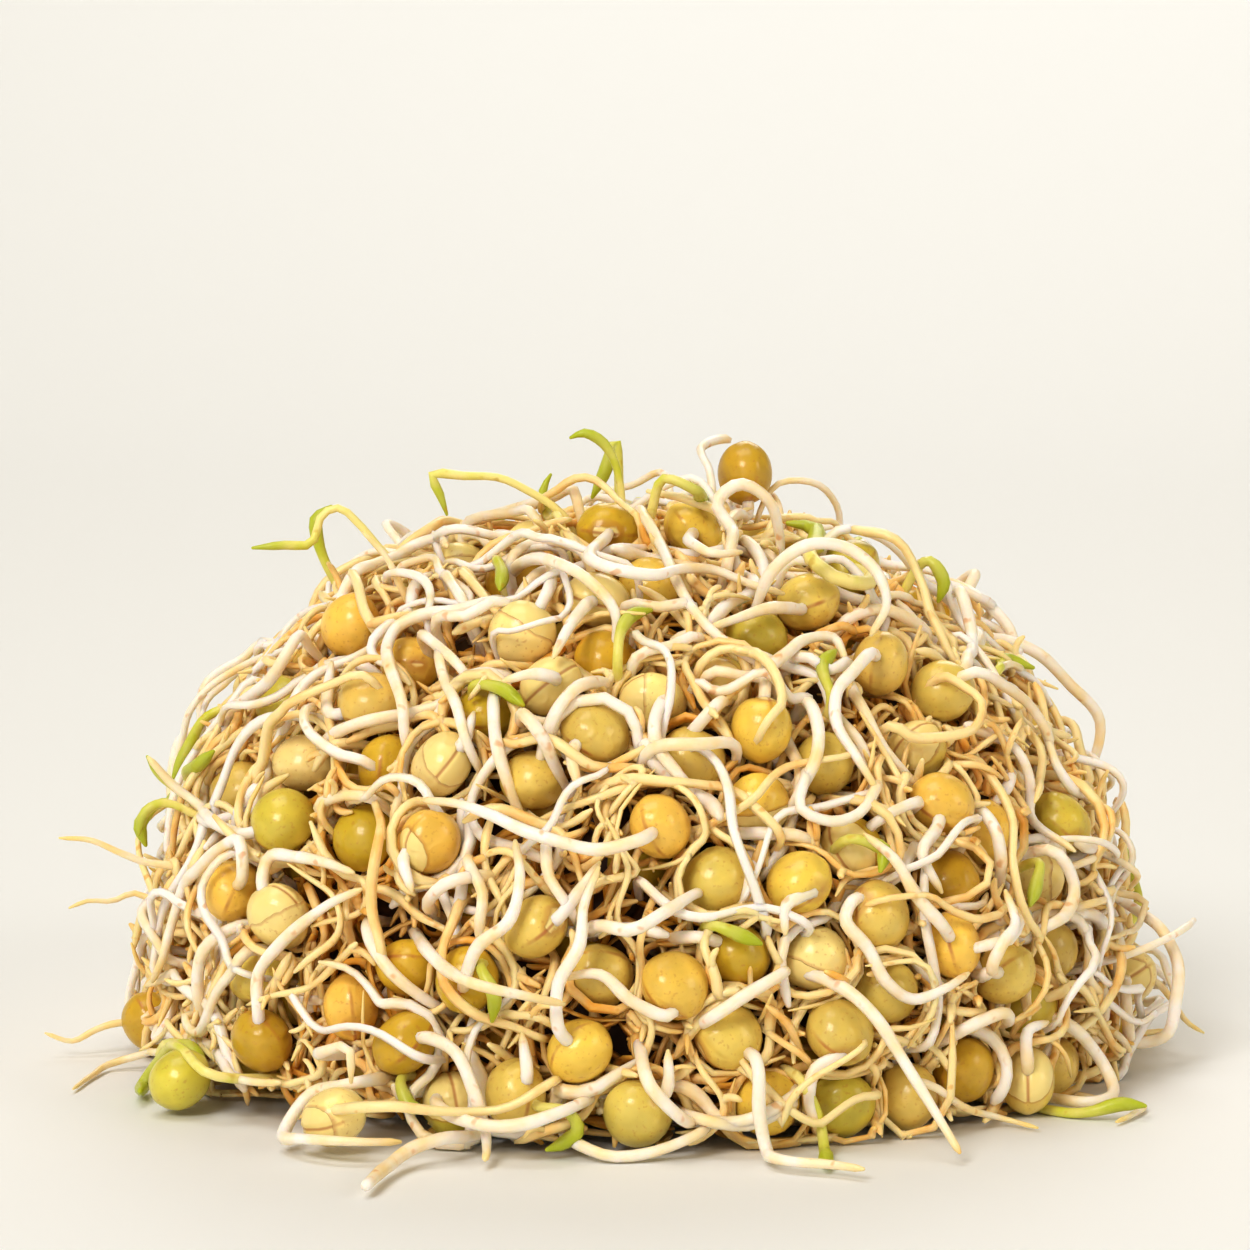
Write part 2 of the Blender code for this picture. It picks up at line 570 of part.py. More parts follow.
def lay_out():
    """The whole heap as plain numbers: the outer sprouts, the buried lentils and the tangle's stems.
    What is laid later bends clear of what is there already."""
    rng = random.Random(SEED)
    outer, buried = place_lentils(rng)
    everything = Room()
    everything.add(np.vstack([outer, buried]), LENTIL_ACROSS / 2 * CORNER)
    outer_room = Room()
    outer_room.add(outer, LENTIL_ACROSS / 2 * CORNER)
    sprouts = []
    for number, centre in enumerate(outer):
        sprout = lay_sprout(rng, number, centre, everything)
        sprouts.append(sprout)
        body = sampled(sprout["shoot"])[0][4:]
        everything.add(body, SHOOT_THICK / 2 * 1.1)
        outer_room.add(body, SHOOT_THICK / 2 * 1.1)
    stems = []
    for route, thick, way_at, free_tip in stem_routes(rng, outer):
        wide = thick / 2 * 1.2
        path = rooted(everything.lifted(route, thick / 2, way_at), free_tip)
        path = outer_room.cleared(path, wide, 0)
        for _ in range(RELIFTS):
            if not outer_room.holds(path, wide):
                path = outer_room.cleared(outer_room.lifted(path, wide, way_at), wide, 0)
        if outer_room.holds(path, wide) and bends(path).max() < FOLDED:
            stems.append({"path": path, "thick": thick})
            everything.add(sampled(path)[0], thick / 2)
    return sprouts, buried, stems


def mesh_object(name, points, faces):
    """A mesh object of these points and faces."""
    mesh = bpy.data.meshes.new(name)
    mesh.from_pydata([tuple(point) for point in points], [], faces)
    obj = bpy.data.objects.new(name, mesh)
    bpy.context.scene.collection.objects.link(obj)
    return obj


def lentil_mesh(centre, flat_way, sides):
    """A lens: a pole on each flat face, and two rings between them that stand round the rim."""
    w = unit(flat_way)
    u = unit(np.cross(w, [0.3, 0.2, 0.93]))
    v = np.cross(w, u)
    points = [centre - w * LENTIL_THICK / 2]
    for rise in (-RING_RISE, RING_RISE):
        reach = LENTIL_ACROSS / 2 * math.cos(rise) * CORNER
        height = LENTIL_THICK / 2 * math.sin(rise) * CORNER
        for k in range(sides):
            turn = 2 * math.pi * k / sides
            points.append(centre + (u * math.cos(turn) + v * math.sin(turn)) * reach + w * height)
    points.append(centre + w * LENTIL_THICK / 2)
    last = len(points) - 1
    faces = []
    for k in range(sides):
        on = (k + 1) % sides
        faces.append((0, 1 + on, 1 + k))
        faces.append((1 + k, 1 + on, 1 + sides + on, 1 + sides + k))
        faces.append((last, 1 + sides + k, 1 + sides + on))
    return mesh_object("lentil", points, faces)


def tube_mesh(path, thick, sides):
    """A stem along a path that thins towards its tip, with a ring in the plane that halves each bend."""
    t = np.linspace(0, 1, len(path))
    taper = 1 - (1 - TIP_SHARE) * np.clip((t - 0.6) / 0.4, 0, 1)
    radii = thick / 2 * np.minimum(0.75 + 1.6 * t, 1) * taper * (1.2 if sides == 3 else 1.1)
    run = unit(np.gradient(path, axis=0))
    side = unit(np.cross(run[0], [0.31, 0.27, 0.91]))
    points = []
    for k, centre in enumerate(path):
        side = unit(side - run[k] * (side @ run[k]))
        other = np.cross(run[k], side)
        for j in range(sides):
            turn = 2 * math.pi * j / sides
            points.append(centre + (side * math.cos(turn) + other * math.sin(turn)) * radii[k])
    faces = [tuple(range(sides))[::-1]]
    for low in range(0, sides * (len(path) - 1), sides):
        for j in range(sides):
            on = (j + 1) % sides
            faces.append((low + j, low + on, low + sides + on, low + sides + j))
    faces.append(tuple(range(sides * (len(path) - 1), sides * len(path))))
    return mesh_object("stem", points, faces)


def middle_mesh():
    """The tangle's dense middle: a dome of rings on a flat foot."""
    points = [np.zeros(3)]
    for ring in range(MIDDLE_RINGS):
        rise = math.pi / 2 * ring / MIDDLE_RINGS
        for k in range(MIDDLE_SIDES):
            turn = 2 * math.pi * (k + ring / 2) / MIDDLE_SIDES
            way = [math.cos(rise) * math.cos(turn), math.cos(rise) * math.sin(turn), math.sin(rise)]
            points.append(at_depth(np.array(way), MIDDLE_DEPTH))
    points.append(np.array([0, 0, HEAP_HEIGHT - MIDDLE_DEPTH]))
    last = len(points) - 1
    faces = []
    for k in range(MIDDLE_SIDES):
        on = (k + 1) % MIDDLE_SIDES
        faces.append((0, 1 + on, 1 + k))
        for low in range(1, last - MIDDLE_SIDES, MIDDLE_SIDES):
            faces.append((low + k, low + on, low + MIDDLE_SIDES + k))
            faces.append((low + on, low + MIDDLE_SIDES + on, low + MIDDLE_SIDES + k))
        faces.append((last - MIDDLE_SIDES + k, last - MIDDLE_SIDES + on, last))
    return mesh_object("middle", points, faces)


def keep_largest_body(mesh):
    """Deletes every loose scrap of the mesh but its largest body."""
    ends = np.array([edge.vertices[:] for edge in mesh.edges])
    body = np.arange(len(mesh.vertices))
    while True:
        before = body.copy()
        least = np.minimum(body[ends[:, 0]], body[ends[:, 1]])
        np.minimum.at(body, ends[:, 0], least)
        np.minimum.at(body, ends[:, 1], least)
        if (body == before).all():
            break
    names, counts = np.unique(body, return_counts=True)
    kept = body == names[counts.argmax()]
    number = np.cumsum(kept) - 1
    points = [tuple(vertex.co) for vertex in mesh.vertices if kept[vertex.index]]
    faces = [[int(number[i]) for i in face.vertices] for face in mesh.polygons if kept[face.vertices[0]]]
    mesh.clear_geometry()
    mesh.from_pydata(points, [], faces)


def fuse(base, others, solver):
    """Joins the others onto base by one Boolean union, and keeps its largest body."""
    joined = bpy.data.collections.new("joined")
    bpy.context.scene.collection.children.link(joined)
    for other in others:
        bpy.context.scene.collection.objects.unlink(other)
        joined.objects.link(other)
    union = base.modifiers.new("union", "BOOLEAN")
    union.operation = "UNION"
    union.operand_type = "COLLECTION"
    union.collection = joined
    union.solver = solver
    union.use_self = solver == "EXACT"
    graph = bpy.context.evaluated_depsgraph_get()
    mesh = bpy.data.meshes.new_from_object(base.evaluated_get(graph))
    base.modifiers.clear()
    base.data = mesh
    for other in others:
        bpy.data.objects.remove(other)
    bpy.data.collections.remove(joined)
    keep_largest_body(mesh)


def name_and_colour(obj, name, colour, roughness):
    """Names the object and gives it its own material."""
    obj.name = name
    material = bpy.data.materials.new(name)
    material.use_nodes = True
    shader = material.node_tree.nodes["Principled BSDF"]
    shader.inputs["Base Color"].default_value = (*colour, 1)
    shader.inputs["Roughness"].default_value = roughness
    obj.data.materials.clear()
    obj.data.materials.append(material)


def build_tangle(buried, stems):
    """The matted rest of the heap: its dense middle, joined with the buried lentils and every stem."""
    middle = middle_mesh()
    others = [lentil_mesh(centre, outward(centre), BURIED_SIDES) for centre in buried]
    others += [tube_mesh(stem["path"], stem["thick"], STEM_SIDES) for stem in stems]
    fuse(middle, others, "MANIFOLD")
    name_and_colour(middle, "sprout_tangle", TANGLE_COLOUR, TANGLE_ROUGHNESS)


def build_sprout(number, sprout):
    """One outer sprout: a lentil joined with the shoot that comes out of its rim."""
    lentil = lentil_mesh(sprout["centre"], sprout["flat_way"], LENTIL_SIDES)
    shoot = tube_mesh(sprout["shoot"], SHOOT_THICK, SHOOT_SIDES)
    fuse(lentil, [shoot], "EXACT")
    coat = sprout["coat"]
    name_and_colour(lentil, f"sprout_{number:02d}_{coat}", COATS[coat], COAT_ROUGHNESS)


def main():
    for obj in list(bpy.data.objects):
        bpy.data.objects.remove(obj)
    sprouts, buried, stems = lay_out()
    build_tangle(buried, stems)
    for number, sprout in enumerate(sprouts, 1):
        build_sprout(number, sprout)


main()
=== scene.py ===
import math
import random

import bpy
import numpy as np
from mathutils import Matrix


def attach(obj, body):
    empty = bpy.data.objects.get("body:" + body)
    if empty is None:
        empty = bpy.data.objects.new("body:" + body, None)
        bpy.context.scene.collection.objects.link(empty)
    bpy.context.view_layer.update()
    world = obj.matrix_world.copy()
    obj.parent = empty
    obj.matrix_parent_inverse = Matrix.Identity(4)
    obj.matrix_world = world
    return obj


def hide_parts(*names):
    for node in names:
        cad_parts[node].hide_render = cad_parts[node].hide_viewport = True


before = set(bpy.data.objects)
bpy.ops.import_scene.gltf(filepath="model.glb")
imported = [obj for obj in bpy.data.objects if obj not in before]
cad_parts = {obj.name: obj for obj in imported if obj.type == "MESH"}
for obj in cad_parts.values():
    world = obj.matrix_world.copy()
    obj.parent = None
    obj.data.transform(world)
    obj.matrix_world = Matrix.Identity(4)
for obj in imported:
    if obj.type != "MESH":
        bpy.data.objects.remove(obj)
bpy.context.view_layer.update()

# The camera stands where the photograph was taken from: about half a metre away and a little above the
# heap, behind a long lens. The photograph's frame is square, and PIXEL is what one of its pixels spans
# at the heap, from a swollen lentil of 7 mm that measures 62 pixels. The picture is developed a little
# harder than plain, as such photographs are.
FRAME = 1250
EYE_DISTANCE = 0.52
EYE_RISE = math.radians(11.0)
AIM_HEIGHT = 0.048
AIM_SIDE = -0.0016
PIXEL = 0.000113
SENSOR = 36.0
PICTURE_GAMMA = 0.85


def unit(vectors):
    """The same directions with length 1."""
    return vectors / np.maximum(np.linalg.norm(vectors, axis=-1, keepdims=True), 1e-12)


eye = np.array([AIM_SIDE, -EYE_DISTANCE * math.cos(EYE_RISE), EYE_DISTANCE * math.sin(EYE_RISE)])
eye_to_aim = np.array([AIM_SIDE, 0, AIM_HEIGHT]) - eye
eye_forward = unit(eye_to_aim)
eye_right = np.array([1.0, 0, 0])
eye_up = unit(np.cross(eye_right, eye_forward))
focal_pixels = np.linalg.norm(eye_to_aim) / PIXEL
camera = bpy.data.objects.new("camera", bpy.data.cameras.new("camera"))
camera.data.lens = SENSOR * focal_pixels / FRAME
camera.data.sensor_width = SENSOR
camera.data.clip_start = 0.01
camera.location = eye
camera.rotation_euler = (math.pi / 2 - math.atan2(-eye_forward[2], eye_forward[1]), 0, 0)
bpy.context.scene.collection.objects.link(camera)
bpy.context.scene.camera = camera
bpy.context.scene.view_settings.view_transform = "Standard"
bpy.context.scene.view_settings.gamma = PICTURE_GAMMA

# The heap rests on a plain pale tabletop: painted board with a fine even tooth. A soft window light comes
# from beside the camera at the upper left, a wider one from above and weaker ones from the right and
# from behind, with a warm pale room all round. Far out, the floor curves up on all sides, so that no
# view shows its edge.
FLOOR_INNER = 0.3
FLOOR_FLAT = 1.0
FLOOR_CURVE = 1.5
FLOOR_RISE = 0.6
FLOOR_SIDES = 96
FLOOR_RINGS = 24
FLOOR_COLOUR = "ECEEEF"
FLOOR_TOOTH = 0.0012


def linear(code):
    """An sRGB hex colour as linear red, green and blue, and 1: c / 12.92 when dark, or else
    ((c + 0.055) / 1.055) ** 2.4."""
    shares = [int(code[i : i + 2], 16) / 255 for i in (0, 2, 4)]
    return (*(c / 12.92 if c <= 0.04045 else ((c + 0.055) / 1.055) ** 2.4 for c in shares), 1)


def feed(tree, node, links):
    """Gives inputs of a node a value, or the socket that feeds them."""
    for name, value in links.items():
        if isinstance(value, bpy.types.NodeSocket):
            tree.links.new(value, node.inputs[name])
        else:
            node.inputs[name].default_value = value


def add(tree, kind, settings, links):
    """Adds a node with these settings and inputs, and gives its outputs."""
    node = tree.nodes.new(kind)
    for name, value in settings.items():
        setattr(node, name, value)
    feed(tree, node, links)
    return node.outputs


def noise(tree, scale, detail, kind="FBM", distortion=0.0):
    """Noise through the object's own space, of so many lumps to a metre."""
    place = add(tree, "ShaderNodeTexCoord", {}, {})["Object"]
    links = {"Vector": place, "Scale": scale, "Detail": detail, "Distortion": distortion}
    return add(tree, "ShaderNodeTexNoise", {"noise_type": kind}, links)["Fac"]


def relief(tree, height, distance, strength=1.0, over=None, invert=False):
    """The normal of a relief of that height, laid over the normal given."""
    links = {"Height": height, "Distance": distance, "Strength": strength}
    if over:
        links["Normal"] = over
    return add(tree, "ShaderNodeBump", {"invert": invert}, links)["Normal"]


def new_material(name):
    """An empty Principled material, its node tree and its shader."""
    material = bpy.data.materials.new(name)
    material.use_nodes = True
    tree = material.node_tree
    return material, tree, tree.nodes["Principled BSDF"]


def painted_board():
    """Matt paint rolled on board: one even pale colour, dull, with a tooth about a millimetre across."""
    material, tree, shader = new_material("painted_board")
    tooth = relief(tree, noise(tree, 1 / FLOOR_TOOTH, 3.0), 0.0002, 0.08)
    feed(tree, shader, {"Base Color": linear(FLOOR_COLOUR), "Roughness": 0.65, "Normal": tooth})
    return material


# The floor is a profile turned round: flat out to its first radius, then an arc that curves up.
climb = np.linspace(0, math.acos(1 - FLOOR_RISE / FLOOR_CURVE), FLOOR_RINGS)
turn = np.arange(FLOOR_SIDES) / FLOOR_SIDES * 2 * math.pi
away = np.append(FLOOR_INNER, FLOOR_FLAT + FLOOR_CURVE * np.sin(climb))[:, None]
rise = np.append(0, FLOOR_CURVE * (1 - np.cos(climb)))[:, None]
rings = np.stack([away * np.cos(turn), away * np.sin(turn), rise + 0 * turn], -1)
k = np.arange(FLOOR_SIDES)
on = (k + 1) % FLOOR_SIDES
row = 1 + np.arange(FLOOR_RINGS)[:, None] * FLOOR_SIDES
quads = np.stack([row + k, row + FLOOR_SIDES + k, row + FLOOR_SIDES + on, row + on], -1).reshape(-1, 4)
middle = np.stack([0 * k, 1 + k, 1 + on], -1)
floor_mesh = bpy.data.meshes.new("floor")
floor_mesh.from_pydata([(0, 0, 0), *rings.reshape(-1, 3).tolist()], [], [*middle.tolist(), *quads.tolist()])
floor_mesh.shade_smooth()
floor = bpy.data.objects.new("floor", floor_mesh)
floor_mesh.materials.append(painted_board())
bpy.context.scene.collection.objects.link(floor)


def soft_light(name, place, size, power, tint):
    """A square soft light at a place, turned to the middle of the heap."""
    light = bpy.data.lights.new(name, "AREA")
    light.shape = "SQUARE"
    light.size = size
    light.energy = power
    light.color = tint
    lamp = bpy.data.objects.new(name, light)
    lamp.location = place
    way = np.array(place) - np.array([0, 0, 0.03])
    lamp.rotation_euler = (math.atan2(math.hypot(way[0], way[1]), way[2]), 0, math.atan2(way[0], -way[1]))
    bpy.context.scene.collection.objects.link(lamp)


soft_light("window_light", (-1.05, -1.95, 1.65), 0.95, 38.5, (1.0, 0.985, 0.965))
soft_light("sky_light", (-0.62, -0.12, 2.5), 1.4, 20, (1.0, 1.0, 1.0))
soft_light("side_light", (1.9, -0.9, 1.1), 0.9, 9, (1.0, 0.97, 0.92))
soft_light("back_light", (0.25, 2.0, 1.5), 1.25, 15, (1.0, 1.0, 1.0))
world = bpy.data.worlds.new("pale_room")
world.use_nodes = True
world.node_tree.nodes["Background"].inputs["Color"].default_value = (1.0, 0.82, 0.52, 1)
world.node_tree.nodes["Background"].inputs["Strength"].default_value = 0.30
bpy.context.scene.world = world

# The plan of the heap. Each sprout is a lentil with its shoot, and about three hundred of them lie matted
# in a dome. Those that the photograph shows lie where it shows them, and the rest are spread by rule.
# What is laid later bends clear of what is there already.
LENTIL_ACROSS = 0.0070
LENTIL_THICK = 0.0060
SHOOT_THICK = 0.0016
ROOT_THICK = 0.0010
TIP_SHARE = 0.55
HEAP_WIDTH = 0.115
HEAP_LENGTH = 0.122
HEAP_HEIGHT = 0.062
HEAP_POWER = 2.2
BESIDE_LEVEL = 1.03
BESIDE_FADE = 0.04
BESIDE_HEIGHT = 0.003
SIGHT_RANGE = (0.40, 0.64)
SIGHT_STEP = 0.0001
ON_HEAP_LEVEL = 1.01
LENTIL_DEPTH = 0.0020
BURIED_DEPTH = 0.0043
ROOT_DEPTH = 0.0035
ROOT_END_DEPTH = 0.0095
GAP = 0.00034
CLOSE_ENOUGH = 0.00002
STRETCH = 0.0040
SHORTEST_STRETCH = 0.0016
SHARPEST_BEND = math.radians(105.0)
FOLDED = math.radians(125.0)
SAMPLE = 0.0006
RELIFTS = 5
REACH = 0.020
HIGHEST_LIFT = 1.2
STEM_MARGIN = 1.2
SHOOT_MARGIN = 1.1
LEAST_CLEARANCE = 0.6
CLEAR_ROUNDS = 12
PUSH_ROUNDS = 80
PUSH_STEP = 1.15
EASE_STEP = 0.12
SPREAD_ROUNDS = 120
SPREAD_STEP = 0.6
CORNER = 1.06
LENTIL_TILT = 0.45
OUTER_HOLD = 0.9
BURIED_HOLD = 0.4
FREE_GIVE = 1.05
BACK_SPROUTS = 19
BACK_BURIED = 80
BACK_SHOOTS = 27
BACK_SPACING = 0.0093
BACK_TRIES = 20000
TURNED_AWAY = 0.12
BACK_SHOOT_LENGTHS = (0.016, 0.032)
ROOT_LOOPS = 17
SHOOT_SWING = 0.4
ROOT_SWING = 0.9
END_RUN = 0.6
ROOT_LENGTHS = (0.020, 0.038)
GOLDEN_TURN = math.radians(137.5)
FREE_LEVEL = 1.10
SEED = 7
COATS = {"amber": "FAD562", "khaki": "E8CE6C", "olive": "DAB838", "green": "D5C44F", "pale": "FEEA9C"}

# The outer sprouts: the coat of the lentil, then x and y by turns of its place and of the way that its
# shoot runs from there, in pixels
OUTER_SPROUTS = [
    ("olive", [610, 531, 607, 567, 634, 573, 664, 575, 690, 567, 728, 574, 760, 588, 784, 594]),
    ("olive", [598, 604, 578, 612, 570, 620, 565, 641, 553, 658]),
    ("pale", [523, 634, 538, 612, 545, 595, 552, 576, 549, 560]),
    ("khaki", [808, 602, 784, 592, 780, 606, 768, 622, 738, 636, 710, 628]),
    ("pale", [555, 691, 589, 697, 584, 684, 573, 668, 551, 660, 530, 665, 503, 681]),
    ("khaki", [589, 723, 574, 740, 572, 757, 574, 775, 580, 792]),
    ("amber", [764, 732, 765, 700, 763, 680, 777, 662, 800, 644, 819, 634, 838, 640, 846, 661]),
    ("pale", [446, 760, 463, 743, 470, 728, 474, 712]),
    ("khaki", [372, 704, 352, 715, 335, 730, 331, 708, 328, 684, 332, 662]),
    ("amber", [351, 625, 341, 600, 343, 583, 358, 571, 390, 560, 407, 549, 428, 540, 447, 547]),
    ("green", [283, 821, 255, 832, 230, 831, 208, 817, 194, 800, 165, 778, 148, 757]),
    ("amber", [430, 842, 440, 822, 425, 806, 408, 820, 404, 845, 407, 870, 412, 892]),
    ("amber", [233, 891, 245, 855, 236, 838, 208, 861, 185, 884, 174, 915, 166, 948, 152, 982]),
    ("pale", [276, 920, 269, 891, 258, 881, 261, 864, 283, 857, 314, 860, 340, 867, 354, 873]),
    ("olive", [261, 1037, 258, 1010, 254, 990, 261, 968, 281, 943, 303, 923, 331, 903, 362, 889]),
    ("olive", [146, 1021, 120, 1022, 134, 1041, 157, 1055, 191, 1063, 224, 1075, 253, 1083, 281, 1083]),
    ("green", [180, 1079, 157, 1077, 157, 1060, 168, 1049, 188, 1051, 202, 1066, 204, 1085]),
    ("olive", [464, 980, 463, 1000, 465, 975, 473, 951, 498, 937, 515, 906, 520, 873, 515, 840]),
    ("khaki", [544, 933, 550, 925, 571, 903, 588, 878, 600, 862]),
    ("amber", [683, 990, 676, 1013, 660, 1016, 633, 1002, 604, 976, 576, 971, 560, 978]),
    ("amber", [567, 1052, 563, 1040, 556, 1005, 562, 974, 576, 954, 585, 920, 585, 887, 599, 867]),
    ("olive", [415, 1056, 432, 1038, 447, 1041, 464, 1072, 478, 1103, 485, 1131, 485, 1163]),
    ("khaki", [517, 1086, 515, 1105, 524, 1090, 527, 1060, 522, 1033]),
    ("khaki", [637, 1114, 662, 1100, 668, 1085, 660, 1068, 668, 1050]),
    ("amber", [664, 830, 640, 838, 628, 846, 604, 850, 576, 845, 537, 836, 500, 819, 464, 805, 422, 800]),
    ("amber", [807, 895, 820, 885, 797, 900, 778, 914, 785, 935]),
    ("khaki", [865, 918, 845, 900, 842, 912, 858, 932, 873, 957, 888, 984, 909, 999, 933, 994, 969, 973]),
    ("amber", [960, 937, 945, 928, 924, 909, 909, 882, 891, 855, 864, 834]),
    ("khaki", [1002, 972, 985, 950, 1003, 945, 1018, 932, 1018, 912, 1005, 890]),
    ("amber", [943, 814, 932, 835, 922, 842, 927, 867, 942, 893]),
    ("khaki", [880, 664, 872, 650, 866, 663, 845, 678, 834, 709, 843, 739, 864, 766, 877, 790]),
    ("khaki", [942, 692, 962, 672, 966, 660, 972, 634, 966, 607, 951, 596]),
    ("green", [1060, 826, 1083, 846, 1100, 846, 1106, 825, 1092, 801, 1062, 778, 1050, 745, 1035, 709]),
    ("khaki", [842, 1042, 860, 1030, 872, 1041, 842, 1053, 816, 1068, 807, 1092, 812, 1112, 824, 1140]),
    ("khaki", [1037, 1084, 1027, 1062, 1021, 1045, 1030, 1030, 1048, 1022]),
    ("pale", [1137, 975, 1128, 1002, 1140, 1044, 1161, 1041, 1173, 1017, 1177, 984, 1177, 957, 1164, 933,
     1134, 909, 1098, 891]),
    ("green", [849, 568, 870, 580, 852, 584, 822, 571, 810, 553, 811, 529, 802, 513, 787, 523]),
    ("olive", [745, 474, 748, 500, 735, 515, 722, 530]),
    ("amber", [693, 531, 706, 550, 722, 556, 742, 552]),
]

# Lentils that show but lie further in, matted into the tangle: x and y by turns, in pixels
BURIED_LENTILS = [
    740, 539, 516, 580, 374, 589, 648, 588, 597, 660, 652, 705, 707, 692, 756, 638, 697, 751, 502, 722,
    535, 780, 757, 805, 383, 764, 307, 763, 240, 792, 284, 705, 181, 835, 368, 828, 272, 968, 359, 1003,
    415, 981, 334, 1117, 596, 1002, 466, 1089, 707, 884, 731, 960, 731, 1033, 773, 1061, 852, 876,
    840, 957, 849, 1008, 831, 1110, 927, 1105, 973, 1080, 1083, 1071, 984, 832, 939, 873, 1041, 876,
    1047, 927, 1017, 1026, 918, 764, 910, 617, 802, 757, 407, 671,
]

# Shoots whose lentils are out of sight: x and y by turns, from one end to the other
LOOSE_SHOOTS = [
    [731, 545, 727, 521, 714, 503, 722, 487, 740, 482, 760, 490, 775, 508, 781, 530],
    [640, 510, 653, 531, 667, 558, 677, 582, 699, 617, 720, 638, 747, 657, 768, 670],
    [447, 520, 468, 531, 500, 542, 525, 550, 538, 585, 551, 604, 566, 622],
    [500, 585, 487, 604, 460, 612, 420, 612, 396, 622, 385, 641, 396, 684, 415, 732],
    [479, 646, 471, 676, 472, 708, 487, 746, 503, 775, 509, 802],
    [511, 692, 525, 716, 546, 735, 568, 748],
    [616, 638, 625, 695, 628, 722, 626, 746, 610, 775, 589, 794, 554, 795, 514, 786],
    [677, 671, 661, 689, 648, 719, 645, 743, 653, 767, 672, 786, 696, 794],
    [662, 741, 688, 745, 715, 743, 734, 735],
    [688, 719, 715, 717, 739, 703, 750, 687],
    [413, 889, 450, 881, 478, 870],
    [380, 915, 402, 937, 430, 941, 464, 929, 487, 937, 498, 954, 531, 988],
    [593, 920, 618, 936, 649, 929, 672, 904, 697, 889],
    [678, 954, 703, 940, 734, 936],
    [694, 805, 717, 825, 753, 842, 787, 853, 818, 866, 850, 860, 867, 840],
    [769, 831, 767, 859, 756, 892, 748, 920],
    [425, 1108, 464, 1122, 501, 1131, 548, 1117, 588, 1103],
    [574, 1142, 593, 1153, 627, 1156, 663, 1149, 694, 1136],
    [700, 1122, 731, 1125, 773, 1111, 800, 1100],
    [759, 1075, 759, 1111, 765, 1145, 781, 1162, 810, 1168, 840, 1170, 864, 1174],
    [719, 1013, 742, 999, 762, 982, 778, 976],
    [366, 1191, 393, 1164, 420, 1142, 445, 1134, 475, 1125],
    [786, 939, 804, 972, 831, 999, 861, 1020, 888, 1038, 900, 1059, 921, 1089, 945, 1113, 963, 1134,
     960, 1158],
    [1059, 1005, 1080, 1029, 1101, 1059, 1119, 1083, 1116, 1103, 1098, 1112, 1062, 1112],
    [954, 1041, 975, 1023, 1002, 1008, 1029, 1002],
    [852, 601, 879, 607, 906, 619, 933, 625],
    [813, 517, 828, 515, 849, 532, 879, 544, 900, 547, 913, 534, 915, 552, 913, 580],
    [972, 690, 966, 724, 967, 760, 966, 787],
    [281, 671, 303, 668, 335, 657, 362, 646, 388, 641, 420, 638],
    [201, 732, 228, 711, 254, 695, 271, 684, 284, 657, 303, 630, 316, 612],
    [216, 915, 202, 948, 196, 982, 191, 1018],
    [261, 999, 238, 1007, 213, 1018, 191, 1030, 168, 1047],
    [340, 1086, 314, 1092, 292, 1108, 283, 1122, 323, 1140, 365, 1142, 401, 1142],
    [351, 915, 365, 937, 379, 960, 401, 988, 420, 1004],
    [972, 786, 996, 810, 1002, 834, 987, 867, 1017, 870, 1035, 891],
    [1059, 855, 1074, 882, 1071, 906, 1050, 925],
    [813, 700, 820, 730, 816, 760, 804, 784],
    [656, 1075, 663, 1103, 677, 1134, 697, 1150, 717, 1157],
    [365, 1069, 384, 1086, 404, 1100, 425, 1090],
    [323, 1052, 331, 1041, 348, 1047, 356, 1066, 351, 1083],
]

# Thin roots and a first leaf stalk that stand off the heap, from where they leave it to their tips
THIN_ENDS = [
    [622, 505, 619, 478, 613, 458, 600, 440, 583, 433, 570, 438],
    [560, 512, 530, 492, 500, 478, 465, 476, 432, 476, 440, 495, 447, 515],
    [390, 560, 377, 545, 355, 520, 340, 508, 325, 512, 310, 544, 285, 545, 252, 548],
    [175, 866, 145, 862, 121, 853, 90, 840, 59, 838],
    [160, 905, 146, 897, 135, 893, 112, 901, 87, 901, 69, 908],
    [130, 1022, 112, 1024, 95, 1030, 73, 1041, 45, 1033],
    [160, 1052, 137, 1056, 110, 1064, 93, 1075, 73, 1089],
    [1000, 668, 1020, 668, 1036, 680, 1058, 689],
    [1098, 1100, 1116, 1105, 1140, 1105, 1132, 1115, 1116, 1122],
    [190, 800, 178, 790, 161, 775, 147, 756],
    [190, 812, 172, 804, 157, 804, 146, 811, 138, 836],
    [1090, 860, 1107, 855, 1128, 866, 1130, 890],
    [1085, 905, 1105, 900, 1128, 895, 1145, 900, 1142, 916, 1122, 934, 1105, 940],
    [1160, 985, 1172, 1000, 1188, 1023, 1204, 1033],
    [940, 1090, 960, 1105, 1005, 1119, 1038, 1128],
    [560, 520, 546, 508, 543, 490, 551, 474],
    [400, 585, 385, 555, 362, 532],
]


def heap_level(points, depth=0.0):
    """1 on the dome that lies depth under the heap's outside, less inside it and more beyond it.
    The depth is one number, or one for each point."""
    side = points[..., 0] / (HEAP_WIDTH / 2 - depth)
    deep = points[..., 1] / (HEAP_LENGTH / 2 - depth)
    up = np.abs(points[..., 2]) / (HEAP_HEIGHT - depth)
    return (np.hypot(side, deep) ** HEAP_POWER + up**HEAP_POWER) ** (1 / HEAP_POWER)


